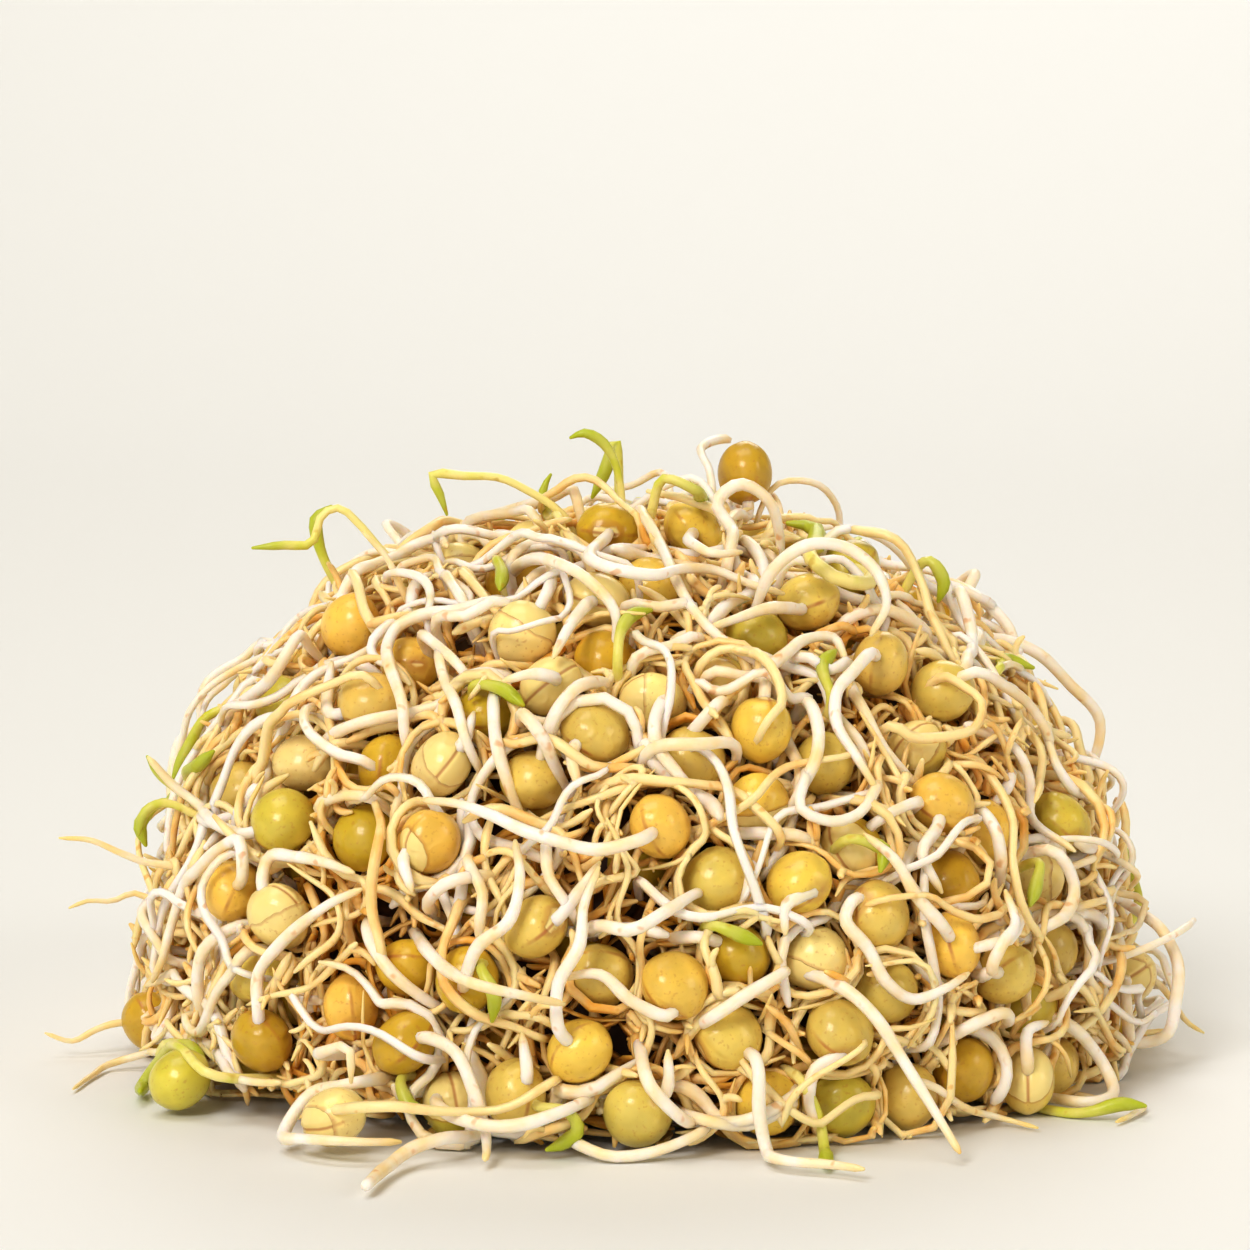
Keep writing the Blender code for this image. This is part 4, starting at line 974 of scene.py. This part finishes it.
def stem_points(paths, radii, sides):
    """Points of many round stems, and their places: the share along and the share around. Each ring lies
    across its path at centre + radius (cos side + sin other), with the side turned as little as can be
    from ring to ring. Both ends are poles just beyond the last rings."""
    run = unit(np.gradient(paths, axis=1))
    side = unit(np.cross(run[:, 0], [0.31, 0.27, 0.91]))
    turn = np.arange(sides) / sides * 2 * math.pi
    rings = []
    for k in range(paths.shape[1]):
        side = unit(side - run[:, k] * (side * run[:, k]).sum(-1, keepdims=True))
        other = np.cross(run[:, k], side)
        circle = side[:, None] * np.cos(turn)[:, None] + other[:, None] * np.sin(turn)[:, None]
        rings.append(paths[:, k, None] + radii[:, k, None, None] * circle)
    start = paths[:, :1] - run[:, :1] * radii[:, :1, None] * 0.5
    end = paths[:, -1:] + run[:, -1:] * radii[:, -1:, None] * 0.7
    share = np.linspace(0, 1, len(rings))
    along = np.concatenate([[0], np.repeat(share, sides), [1]])
    around = np.concatenate([[0], np.tile(np.arange(sides) / sides, len(rings)), [0]])
    return np.concatenate([start, *rings, end], 1), np.stack([along, around, 0 * along], -1)


def stem_material(name, colours, patches, see_through, reach):
    """A wet root or shoot: glossy and see-through for a millimetre or so, over the reach given for red,
    green and blue light. Its colours are the body's, that of patches, of its tip and of stains. It is
    tinged in patches, and stained in small spots and where its first mark says, as at a torn junction.
    On the mat's roots and rootlets the marks also carry painted shade, more with depth."""
    material, tree, shader = new_material(name)
    local, marks = own_mark(tree, "places"), own_mark(tree, "marks")
    uneven = noise(tree, 1 / patches, 3.0)
    tinge = maths(tree, "ADD", ranged(tree, uneven, 0.42, 0.70, 0.0, 0.8), marks["Y"], clamp=True)
    tip = ranged(tree, local["X"], 0.80, 1.0, 0.0, 0.7, "SMOOTHSTEP")
    spots = ranged(tree, noise(tree, 1 / SHOOT_SPOTS, 1.0), 0.66, 0.78, 0.0, 0.55, "SMOOTHSTEP")
    ragged = maths(tree, "MULTIPLY_ADD", uneven, 0.9, marks["X"])
    stain = maths(tree, "MAXIMUM", spots, ranged(tree, ragged, 0.62, 1.2, 0.0, 0.9, "SMOOTHSTEP"))
    colour = linear(colours[0])
    for share, code in zip((tinge, tip, stain), colours[1:]):
        colour = mixed(tree, share, colour, linear(code))
    fibres = relief(tree, noise(tree, 1 / SHOOT_FIBRES, 1.0), 0.00006, 0.5)
    feed(tree, shader, {"Base Color": colour, "Normal": fibres, "Roughness": 0.32, "IOR": 1.38,
                        "Subsurface Weight": see_through, "Subsurface Radius": reach,
                        "Subsurface Scale": 0.0010})
    return material


shoot_colours = [SHOOT_WHITE, SHOOT_CREAM, SHOOT_TIP, SHOOT_STAIN]
shoot_material = stem_material("wet_white_shoot", shoot_colours, SHOOT_PATCHES, 0.38, (1.0, 0.7, 0.35))


def stem_marks(stain, tinge, share):
    """Marks of stems: how stained and how tinged they are, given for each stem or for its points."""
    stain = stain + 0 * share
    return np.stack([stain, tinge + 0 * share, 0 * stain], -1)


def shoot_form(path, thick, stain_start, stain_end, tinge, kind):
    """A shoot along the path: full at first, thinning over its last two fifths, with a rounded tip and
    slight swellings. It is stained round its start and its end by those shares."""
    count = SHOOT_RINGS_A_STRETCH * (len(path) - 1) + 1
    fine = smooth_curve(path, count)
    fine[:, 2] = np.maximum(fine[:, 2], thick / 2)
    t = np.linspace(0, 1, count)
    taper = 1 - (1 - TIP_SHARE) * np.clip((t - 0.6) / 0.4, 0, 1)
    radii = SHOOT_ROUND * thick / 2 * np.minimum(0.75 + 1.6 * t, 1) * taper
    swelling = np.sin(23 * t + draws.uniform(0, 6)) * np.sin(9 * t + draws.uniform(0, 6))
    radii *= 1 + SHOOT_SWELLINGS * swelling
    radii *= np.sqrt(np.clip((1 - t) * len(path) * 3.5 + 0.25, 0, 1))
    points, places = stem_points(fine[None], radii[None], SHOOT_SIDES)
    t = places[:, 0]
    reach = STAIN_REACH / len(path)
    stain = stain_start * np.exp(-((t / reach) ** 2)) + stain_end * np.exp(-(((1 - t) / reach) ** 2))
    return many(points, places, stem_marks(stain, tinge, t)[None], count, SHOOT_SIDES, kind)


# Plumules, the first leaves. Some shoots end in a hooked yellow-green stalk with a folded leaf bud. They
# are made as the shoots are, with the bud as a long swelling before a pointed tip.
PLUMULE_RINGS = 26
BUD_AT = 0.84
BUD_WIDTH = 0.11
BUD_SWELL = 0.45
BUD_FADE = 0.34
STALK_THICK = 0.0011
STALK_YELLOW = "F4E69A"
LEAF_LIME = "D6D648"
LEAF_GREEN = "A2B222"
LEAF_STAIN = "C9A42E"
LEAF_TINGE = 0.65
leaf_colours = [STALK_YELLOW, LEAF_LIME, LEAF_GREEN, LEAF_STAIN]
leaf_material = stem_material("young_green_leaf", leaf_colours, 0.003, 0.30, (1.0, 0.9, 0.3))


def plumule_form(path, thick, bud, fade):
    """A stalk along the path with radius = thick / 2 (1 + bud exp(-((t - BUD_AT) / BUD_WIDTH) ** 2)),
    narrowing to a point beyond the bud. The higher its fade, the nearer to the tip its green comes on."""
    t = np.linspace(0, 1, PLUMULE_RINGS)
    radii = thick / 2 * (1 + bud * np.exp(-(((t - BUD_AT) / BUD_WIDTH) ** 2)))
    radii *= np.clip((1 - t) * 9 + 0.22, 0, 1) ** 0.7
    fine = smooth_curve(path, PLUMULE_RINGS)
    fine[:, 2] = np.maximum(fine[:, 2], radii)
    points, places = stem_points(fine[None], radii[None], SHOOT_SIDES)
    faded = fade * (1 - places[:, 0])
    places[:, 0] = 1 - faded
    marks = stem_marks(0.0, LEAF_TINGE - 3 * faded, faded)
    return many(points, places, marks[None], PLUMULE_RINGS, SHOOT_SIDES, 1)


# The outer sprouts. Each is one lentil with its shoot grown out of the rim, and keeps its node's place,
# path and thickness. The shoots of two of them are plumules.
PLUMULE_SPROUTS = (17, 37)
for number, sprout in enumerate(sprouts, 1):
    coat = sprout["coat"]
    start_way = unit(sprout["shoot"][1] - sprout["centre"])
    lentil = lentils(coat, sprout["centre"][None], sprout["flat_way"][None], start_way[None],
                     np.array([LENTIL_ACROSS * draws.uniform(0.97, 1.04)]),
                     np.array([LENTIL_THICK * draws.uniform(0.95, 1.04)]), 26, 28)
    is_plumule = number in PLUMULE_SPROUTS
    if is_plumule:
        shoot = plumule_form(sprout["shoot"], SHOOT_THICK, 0.4, 0.5)
    else:
        shoot = shoot_form(sprout["shoot"], SHOOT_THICK, 0.8, draws.uniform(0, 0.25), 0, 1)
    name = f"sprout_{number:02d}_{coat}"
    piece_of(f"fine_{name}", [lentil, shoot],
             [coat_materials[coat], leaf_material if is_plumule else shoot_material], coat, name)

# The lentils matted into the tangle, in the five coats, and a layer of others further in that only show
# through gaps.
BURIED_COATS = ("khaki", "olive", "khaki", "amber", "olive", "pale", "khaki", "green")
INNER_DEPTH = 0.0090
INNER_LENTILS = 130
INNER_ACROSS = 0.95
INNER_THICK = 0.86
BURIED_TILT = 0.55
way_out = outward(buried_lentils)
flat_ways = unit(way_out + BURIED_TILT * draws.normal(0, 1, way_out.shape))
root_ways = unit(draws.normal(0, 1, way_out.shape) + 0.5 * way_out)
across = LENTIL_ACROSS * draws.uniform(0.94, 1.03, len(way_out))
thick = LENTIL_THICK * draws.uniform(0.92, 1.04, len(way_out))
coat_of = np.array([BURIED_COATS[k % len(BURIED_COATS)] for k in range(len(way_out))])
for coat, material in coat_materials.items():
    own = coat_of == coat
    form = lentils(coat, buried_lentils[own], flat_ways[own], root_ways[own], across[own], thick[own],
                   18, 20)
    piece_of(f"tangle_lentils_{coat}", [form], [material], coat, "sprout_tangle")


def even_ways(count, turned):
    """Directions spread evenly over the upper half of a ball, on a spiral that turns by the golden angle
    and rises by equal steps."""
    k = np.arange(count)
    rise = (k + 0.5) / count
    turn = GOLDEN_TURN * k + turned
    flat = np.sqrt(1 - rise**2)
    return np.stack([flat * np.cos(turn), flat * np.sin(turn), rise], -1)


inner = at_depth(even_ways(INNER_LENTILS, 1.0), INNER_DEPTH)
inner[:, 2] = np.maximum(inner[:, 2], LENTIL_ACROSS / 2)
size = np.full(INNER_LENTILS, LENTIL_ACROSS * INNER_ACROSS)
form = lentils("olive", inner, outward(inner) + 0.5 * draws.normal(0, 1, inner.shape),
               draws.normal(0, 1, inner.shape), size, size * INNER_THICK, 10, 12)
piece_of("tangle_lentils_inner", [form], [coat_materials["olive"]], "tangle", "sprout_tangle")

# The tangle's shoots and looping roots, on the paths of the solid. The thin ends follow their pixels more
# closely than the solid does, and some of them are plumules, with a bud and a fade of their own. More
# shoots and plumules lie where the photograph shows them, and some plumules by rule behind.
GREEN_ENDS = {0: (0.4, 0.36), 1: (0.3, 0.9), 2: (0.2, 0.9), 9: (0.3, 0.6), 10: (0.3, 0.6), 15: (0.3, 0.6)}
MORE_SHOOTS = [
    LOOSE_SHOOTS[1], LOOSE_SHOOTS[17],
    [470, 520, 486, 514, 508, 513, 530, 511],
    [516, 552, 530, 543, 553, 541, 583, 553],
    [634, 603, 650, 607, 664, 607, 685, 603],
    [644, 652, 655, 652, 668, 647, 693, 636],
    [721, 671, 736, 675, 758, 677],
    [446, 575, 456, 590, 464, 603],
    [440, 616, 460, 617, 477, 612, 493, 601],
    [439, 653, 446, 686, 458, 709, 464, 735],
    [423, 635, 442, 650, 459, 666],
    [469, 865, 480, 882, 483, 902, 479, 926],
    [546, 850, 546, 862, 550, 880, 564, 900],
    [322, 802, 340, 796, 362, 796],
    [808, 657, 822, 668, 836, 670, 846, 662],
    [876, 788, 868, 806, 848, 818, 822, 821, 804, 816, 799, 800, 806, 776],
    [979, 672, 1000, 684, 1022, 696, 1038, 718, 1050, 742],
    [887, 815, 900, 808, 916, 802],
    [1019, 923, 1012, 938, 995, 943],
    [700, 1119, 722, 1125, 745, 1126, 785, 1110],
]
MORE_THICK = 0.0014
THIN_STALK = 0.0009
BACK_PLUMULES = 16
GREEN_STALKS = [
    [652, 510, 654, 488, 668, 477, 688, 486, 702, 504],
    [618, 650, 622, 628, 634, 614, 652, 610],
    [546, 1108, 568, 1112, 578, 1128, 562, 1144, 546, 1150],
    [806, 1088, 812, 1110, 822, 1125, 824, 1145, 827, 1163],
    [497, 560, 502, 572, 500, 590],
    [484, 975, 494, 995, 492, 1022],
    [722, 928, 742, 936, 762, 944],
    [1040, 868, 1036, 885, 1030, 906],
    [936, 566, 944, 582, 938, 602],
    [480, 684, 500, 688, 524, 706],
    [1000, 668, 1016, 662, 1034, 668],
    [205, 1072, 192, 1052, 168, 1052, 152, 1072, 140, 1092],
    [612, 447, 607, 466, 592, 498],
    [318, 540, 316, 520, 332, 506],
    [152, 808, 140, 824, 146, 846],
    [1098, 1110, 1122, 1104, 1146, 1106],
    [830, 690, 822, 668, 836, 650],
    [862, 840, 884, 850, 880, 872],
    [402, 1090, 410, 1106, 426, 1110],
]
seeds = np.vstack([[sprout["centre"] for sprout in sprouts], buried_lentils])
seed_room = Room()
seed_room.add(seeds, LENTIL_ACROSS / 2 * CORNER)
forms = []
for stem in stems:
    path = stem["path"]
    end = stem["row"] - len(LOOSE_SHOOTS)
    is_thin_end = 0 <= end < len(THIN_ENDS)
    if is_thin_end:
        path = rooted(np.array(traced(THIN_ENDS[end], ROOT_THICK / 2)), True)
    if end in GREEN_ENDS:
        forms.append(plumule_form(path, THIN_STALK, *GREEN_ENDS[end]))
    else:
        tinge = 0.5 if is_thin_end else draws.uniform(0, 0.15)
        stain_start, stain_end = draws.uniform(0, 0.4), draws.uniform(0, 0.3)
        forms.append(shoot_form(path, stem["thick"], stain_start, stain_end, tinge, 0))
for pixels in MORE_SHOOTS:
    path = smooth_curve(traced(pixels, MORE_THICK / 2))
    path = rooted(seed_room.lifted(path, MORE_THICK / 2, toward_eye), False)
    forms.append(shoot_form(path, MORE_THICK, draws.uniform(0, 0.4), draws.uniform(0, 0.3), 0.1, 0))
for pixels in GREEN_STALKS:
    path = smooth_curve(traced(pixels, STALK_THICK), 5)
    path = rooted(seed_room.lifted(path, STALK_THICK, toward_eye), True)
    forms.append(plumule_form(path, STALK_THICK, BUD_SWELL, BUD_FADE))
rng = random.Random(SEED + 1)
for start in back_places(rng, [np.zeros(3)], BACK_PLUMULES, STALK_THICK):
    path = rooted(wander(rng, start, 0.009, -0.0010, 0.9), True)
    forms.append(plumule_form(path, STALK_THICK, BUD_SWELL, BUD_FADE))
piece_of("tangle_shoots", forms, [shoot_material, leaf_material], "tangle", "sprout_tangle")

# The mat of roots. From every shoot grows a thin cream root that branches into short side rootlets, and
# all of them are felted together round the lentils. They wander at every depth that shows. The deeper
# they lie, the more stain colour and peach tinge they are given, as painted shade.
MAT_ROOTS = 2600
MAT_STEPS = 18
MAT_STRETCH = (0.0008, 0.0013)
MAT_THICK = (0.0008, 0.0013)
MAT_DEPTH = (0.0003, 0.0080)
MAT_SWAY = 0.0014
MAT_SIDES = 5
DEEP_SIDES = 3
DEEP = 0.0042
ASIDE_SHARE = 0.40
ASIDE_MORE = 1.3
DIVE_WITHIN = 0.93
DIVE_TO = -0.3
HIDES_WITHIN = 0.4
MAT_PATCHES = 0.0050
MAT_HIDES = 1.2
# Painted shade: between the first and last depth, roots take on up to the most of the stain colour.
SHADE_PAINTED_DEPTHS = (0.0018, 0.0080, 0.75)
STAIN_SPREAD = (-0.12, 0.14)
TINGE_SPREAD = (-0.5, 0.1)
# Painted shade: the peach tinge that grows with depth.
PAINTED_SHADE_TINGE_BY_DEPTH = 120
LEAST_DEPTH = -0.0003
MIDDLE_EASE = 0.3
END_EASE = 0.6
ROOT_SWELLINGS = 0.10
ROUNDED_ENDS = (0.45, 0.93)
OUTWARD_SHARE = 0.25
ROOT_CREAM = "FFE6AE"
# Peach and stain serve for real patches and stains, and also as painted shade on deeper roots.
ROOT_PEACH_AND_SHADE = "F8BC5E"
ROOT_TIP = "FBDA94"
ROOT_STAIN_AND_SHADE = "E3A02C"
root_colours = [ROOT_CREAM, ROOT_PEACH_AND_SHADE, ROOT_TIP, ROOT_STAIN_AND_SHADE]
root_material = stem_material("wet_cream_root", root_colours, MAT_PATCHES, 0.32, (1.0, 0.6, 0.2))
seed_ways = outward(seeds)
seed_shows = (seed_ways * toward_eye(seeds)).sum(1, keepdims=True) > TURNED_AWAY
seed_ways = unit(np.where(seed_shows, OUTWARD_SHARE * seed_ways + toward_eye(seeds), seed_ways))
shown = np.array([sprout["centre"] for sprout in sprouts[: len(OUTER_SPROUTS)]])


def kept_off(points, thick, aside, more):
    """The points moved out of the nearest lentil in their root's own manner. One that goes aside slides
    past the rim, by the root's own factor, and any other dives behind the lentil's middle."""
    far = (points**2).sum(1)[:, None] - 2 * points @ seeds.T + (seeds**2).sum(1)[None]
    near = far.argmin(1)
    apart = points - seeds[near]
    height = (apart * seed_ways[near]).sum(1, keepdims=True)
    off_axis = apart - height * seed_ways[near]
    wide = np.linalg.norm(off_axis, axis=1, keepdims=True)
    reach = LENTIL_ACROSS / 2 + thick[:, None] / 2
    lack = np.where(height > -LENTIL_THICK / 2, np.maximum(reach * more[:, None] - wide, 0), 0)
    beside = points + unit(off_axis) * lack
    lower = np.where(wide < DIVE_WITHIN * reach, np.minimum(height, DIVE_TO * LENTIL_THICK), height)
    behind = points + seed_ways[near] * (lower - height)
    return np.where(aside[:, None], beside, behind)


def waves(count, steps):
    """A sine along each of many roots, of its own pace and start."""
    pace, start = draws.uniform(0.3, 0.9, (count, 1)), draws.uniform(0, 6, (count, 1))
    return np.sin(np.arange(steps) * pace + start)


def swings(count, steps, drift, jolt, wave):
    """How far each of many roots turns at each step: a drift of its own, a jolt at each step, and a sine
    of its own pace."""
    turn = draws.normal(0, drift, (count, 1)) + draws.normal(0, jolt, (count, steps))
    return turn + wave * waves(count, steps)


def winding_paths(count, turned, steps, stretch, depth, sway, *swing):
    """Paths of many roots at once, from starts spread evenly on a spiral. Each goes on by its stretch
    along the heap at its own depth, swayed by a sine, with its heading turned by its swings."""
    stretch = draws.uniform(*stretch, (count, 1))
    depths = np.maximum(depth[:, None] + sway * waves(count, steps), LEAST_DEPTH)
    swing = swings(count, steps, *swing)
    heading = unit(draws.normal(0, 1, (count, 3)))
    point = at_depth(even_ways(count, turned), depths[:, 0])
    path = [point]
    for k in range(1, steps):
        way = outward(point)
        heading = unit(heading - way * (heading * way).sum(1, keepdims=True))
        turn = swing[:, k, None]
        heading = heading * np.cos(turn) + np.cross(way, heading) * np.sin(turn)
        heading[:, 2] = np.where(point[:, 2] < LENTIL_ACROSS / 2, np.abs(heading[:, 2]), heading[:, 2])
        point = at_depth(point + heading * stretch, depths[:, k])
        path.append(point)
    return np.stack(path, 1)


def eased_off(paths, thick, aside, more, rounds):
    """The paths kept off the lentils and eased, ends too, in turns, and held above the ground."""
    steps = paths.shape[1]
    own = [np.repeat(value, steps) for value in (thick, aside, more)]
    for _ in range(rounds):
        paths = kept_off(paths.reshape(-1, 3), *own).reshape(paths.shape)
        paths[:, 1:-1] += MIDDLE_EASE * (paths[:, :-2] + paths[:, 2:] - 2 * paths[:, 1:-1])
        paths[:, 0] += END_EASE * (2 * paths[:, 1] - paths[:, 2] - paths[:, 0])
        paths[:, -1] += END_EASE * (2 * paths[:, -2] - paths[:, -3] - paths[:, -1])
    paths[..., 2] = np.maximum(paths[..., 2], thick[:, None] / 2)
    return paths


def shade_painted_by_depth(depth):
    """Painted shade for roots: how much stain colour they are given, from none at the first depth to the
    most at the last, in a straight line.
    """
    first, last, most = SHADE_PAINTED_DEPTHS
    return most * np.clip((depth - first) / (last - first), 0, 1)[:, None]


def lentils_hidden(paths):
    """How many of the lentils that the photograph shows each path hides: those that it passes nearer to
    the eye, within that share of their width from the line to their middle."""
    away = paths[:, :, None] - eye
    along = (away * unit(shown - eye)).sum(-1)
    aside = np.sqrt(np.maximum((away**2).sum(-1) - along**2, 0))
    is_hidden = (aside < HIDES_WITHIN * LENTIL_ACROSS) & (along < np.linalg.norm(shown - eye, axis=1))
    return is_hidden.any(1).sum(1)


def root_radii(thick, steps, tip):
    """The radii of many roots along their length: tip is the share that thins away by the end, with
    slow swellings of each one's own, and both ends rounded off."""
    t = np.linspace(0, 1, steps)
    pace, start = draws.uniform(8, 22, (len(thick), 1)), draws.uniform(0, 6, (len(thick), 1))
    radii = thick[:, None] / 2 * (1 - tip * t**2) * (1 + ROOT_SWELLINGS * np.sin(t * pace + start))
    radii[:, [0, -1]] *= ROUNDED_ENDS[0]
    radii[:, [1, -2]] *= ROUNDED_ENDS[1]
    return radii


def strands(name, material, paths, radii, sides, at_start, reach, stain, tinge):
    """A piece of many stems. Each has its own stain and tinge, and is stained more round its start."""
    points, places = stem_points(paths, radii, sides)
    share = places[:, 0]
    marks = stem_marks(at_start * np.exp(-((share / reach) ** 2)) + stain, tinge, share)
    form = many(points, places[None], marks, paths.shape[1], sides)
    piece_of(name, [form], [material], "tangle", "sprout_tangle")


aside = draws.uniform(0, 1, MAT_ROOTS) < ASIDE_SHARE
more = draws.uniform(1.0, ASIDE_MORE, MAT_ROOTS)
depth = draws.uniform(*MAT_DEPTH, MAT_ROOTS)
thick = draws.uniform(*MAT_THICK, MAT_ROOTS)
mat_paths = winding_paths(MAT_ROOTS, 0.3, MAT_STEPS, MAT_STRETCH, depth, MAT_SWAY, 0.16, 0.07, 0.34)
mat_paths = eased_off(mat_paths, thick, aside, more, 5)
kept = lentils_hidden(mat_paths) <= draws.uniform(0, MAT_HIDES, MAT_ROOTS)
mat_paths, thick, depth = mat_paths[kept], thick[kept], depth[kept]
mat_radii = root_radii(thick, MAT_STEPS, 0.5)
is_low = np.arange(len(depth)) * 2 // len(depth) == 0
heights = {"low": (depth <= DEEP) & is_low, "high": (depth <= DEEP) & ~is_low, "deep": depth > DEEP}
# Deeper roots get more stain colour and tinge: painted shade.
for height, own in heights.items():
    each = (own.sum(), 1)
    strands(f"root_mat_{height}", root_material, mat_paths[own], mat_radii[own],
            DEEP_SIDES if height == "deep" else MAT_SIDES, draws.uniform(0, 0.2, each), 0.12,
            shade_painted_by_depth(depth[own]) + draws.uniform(*STAIN_SPREAD, each),
            draws.uniform(*TINGE_SPREAD, each) + PAINTED_SHADE_TINGE_BY_DEPTH * depth[own][:, None])

# The thicker white shoots that run among the mat, laid in the same way: every other one goes aside.
MAT_SHOOTS = 120
MAT_SHOOT_STEPS = 26
MAT_SHOOT_SIDES = 7
MAT_SHOOT_DEPTH = (0.0006, 0.0030)
MAT_SHOOT_SWAY = 0.0012
MAT_SHOOT_THICK = (0.0012, 0.0016)
depth_in = draws.uniform(*MAT_SHOOT_DEPTH, MAT_SHOOTS)
thick_in = draws.uniform(*MAT_SHOOT_THICK, MAT_SHOOTS)
paths = winding_paths(MAT_SHOOTS, 2.1, MAT_SHOOT_STEPS, MAT_STRETCH, depth_in, MAT_SHOOT_SWAY,
                      0.06, 0.06, 0.20)
paths = eased_off(paths, thick_in, np.arange(MAT_SHOOTS) % 2 == 0, np.full(MAT_SHOOTS, 1.05), 6)
each = (MAT_SHOOTS, 1)
strands("mat_shoots", shoot_material, paths, root_radii(thick_in, MAT_SHOOT_STEPS, 0.35), MAT_SHOOT_SIDES,
        draws.uniform(0, 0.3, each), 0.06, 0, draws.uniform(-0.2, 0.2, each))

# The roots that lie over everything, most of them white: each rises in gentle humps over the lentils
# that it crosses, in a looser arch of its own besides, and goes back into the mat at both ends. Those
# that would hide lentils which the photograph shows are mostly left out.
OVER_ROOTS = 230
OVER_STEPS = 12
OVER_STRETCH = (0.0010, 0.0020)
OVER_DEPTH = 0.0008
OVER_SWAY = 0.0005
OVER_RINGS = 32
OVER_ARCH = 0.0035
OVER_HIDES = 1.3
over_paths = winding_paths(OVER_ROOTS, 1.1, OVER_STEPS, OVER_STRETCH, np.full(OVER_ROOTS, OVER_DEPTH),
                           OVER_SWAY, 0.10, 0.08, 0.26)
over_thick = draws.uniform(*MAT_THICK, OVER_ROOTS)
arch = np.sin(np.linspace(0, math.pi, OVER_STEPS)) ** 2
forms = []
for path, root_thick in zip(over_paths, over_thick):
    path = path + outward(path) * arch[:, None] * draws.uniform(0, OVER_ARCH)
    path = smooth_curve(rooted(seed_room.lifted(path, root_thick / 2, outward), False), OVER_RINGS)
    path[:, 2] = np.maximum(path[:, 2], root_thick / 2)
    if lentils_hidden(path[None])[0] > draws.uniform(0, OVER_HIDES):
        continue
    points, places = stem_points(path[None], root_radii(np.array([root_thick]), OVER_RINGS, 0.3), MAT_SIDES)
    marks = stem_marks(draws.uniform(-0.1, 0.1), draws.uniform(-0.6, 0.1), places[:, 0])
    forms.append(many(points, places[None], marks[None], OVER_RINGS, MAT_SIDES, len(forms) % 3 // 2))
piece_of("over_roots", forms, [shoot_material, root_material], "tangle", "sprout_tangle")

# The side rootlets, short, curved and blunt, that branch off the roots: base + way (t - 0.2 t ** 3) +
# bend 0.6 t ** 2. None is left inside a lentil, or where it would hide one that the photograph shows.
ROOTLETS = 3600
ROOTLET_STEPS = 6
ROOTLET_LENGTH = (0.0016, 0.0042)
ROOTLET_THICK = (0.0006, 0.0009)
ROOTLET_BEND = (0.5, 1.3)
ROOTLET_RISE = 0.35
ROOTLET_OFF = 0.6
ROOTLET_DEPTH = 0.0060
row = draws.integers(0, len(depth), ROOTLETS)
row = row[depth[row] < ROOTLET_DEPTH]
each = (len(row), 1)
step = draws.integers(1, MAT_STEPS - 1, len(row))
base = mat_paths[row, step]
run = unit(mat_paths[row, step + 1] - mat_paths[row, step - 1])
out = outward(base)
way = draws.normal(0, 1, base.shape)
way -= (1 - ROOTLET_RISE) * out * (way * out).sum(1, keepdims=True)
way = unit(way - ROOTLET_OFF * run * (way * run).sum(1, keepdims=True))
bend = unit(np.cross(way, draws.normal(0, 1, base.shape))) * draws.uniform(*ROOTLET_BEND, each)
length = draws.uniform(*ROOTLET_LENGTH, len(row))[:, None, None]
t = np.linspace(0, 1, ROOTLET_STEPS)[:, None]
paths = base[:, None] + length * (way[:, None] * (t - 0.2 * t**3) + bend[:, None] * t**2 * 0.6)
rootlet_thick = draws.uniform(*ROOTLET_THICK, each)
paths[..., 2] = np.maximum(paths[..., 2], rootlet_thick / 2)
clear = np.linalg.norm(paths[:, :, None] - seeds, axis=-1).min((1, 2)) > LENTIL_ACROSS / 2
clear &= lentils_hidden(paths) == 0
paths, rootlet_thick, row = paths[clear], rootlet_thick[clear], row[clear]
each = (len(row), 1)
radii = rootlet_thick / 2 * (1 + 0.3 * np.exp(-6 * t[:, 0]) - 0.15 * t[:, 0] ** 2)
radii[:, -1] *= 0.6
# Painted shade: rootlets on deeper roots get more stain colour.
stain = shade_painted_by_depth(depth[row]) + draws.uniform(-0.12, 0.20, each)
tinge = draws.uniform(-0.35, 0.4, each)
for side in range(2):
    own = np.arange(len(row)) % 2 == side
    strands(f"side_rootlets_{side + 1}", root_material, paths[own], radii[own], MAT_SIDES, 0, 1,
            stain[own], tinge[own])

# The roots that lie flat under the heap, pressed between it and what it rests on.
UNDER_ROOTS = 240
UNDER_STRETCH = 0.0011
UNDER_REACH = 0.45
k = np.arange(UNDER_ROOTS)
each = (UNDER_ROOTS, 1)
spread = np.sqrt((k + 0.5) / UNDER_ROOTS)
turn = GOLDEN_TURN * k
middle = np.stack([spread * np.cos(turn) * HEAP_WIDTH * UNDER_REACH,
                   spread * np.sin(turn) * HEAP_LENGTH * UNDER_REACH,
                   draws.uniform(MAT_THICK[1] / 2, DARK_FOOT, UNDER_ROOTS)], -1)
heading = draws.uniform(0, 2 * math.pi, each)
heading = heading + np.cumsum(swings(UNDER_ROOTS, MAT_STEPS, 0.2, 0.15, 0.35), 1)
run = np.stack([np.cos(heading), np.sin(heading), 0 * heading], -1) * UNDER_STRETCH
paths = middle[:, None] + np.cumsum(run, 1) - run.sum(1, keepdims=True) / 2
paths[..., :2] /= np.maximum(heap_level(paths, 0.003)[..., None], 1)
strands("under_roots", root_material, paths,
        root_radii(draws.uniform(*MAT_THICK, UNDER_ROOTS), MAT_STEPS, 0.5), DEEP_SIDES, 0, 1,
        draws.uniform(0, 0.4, each), draws.uniform(-0.3, 0.4, each))
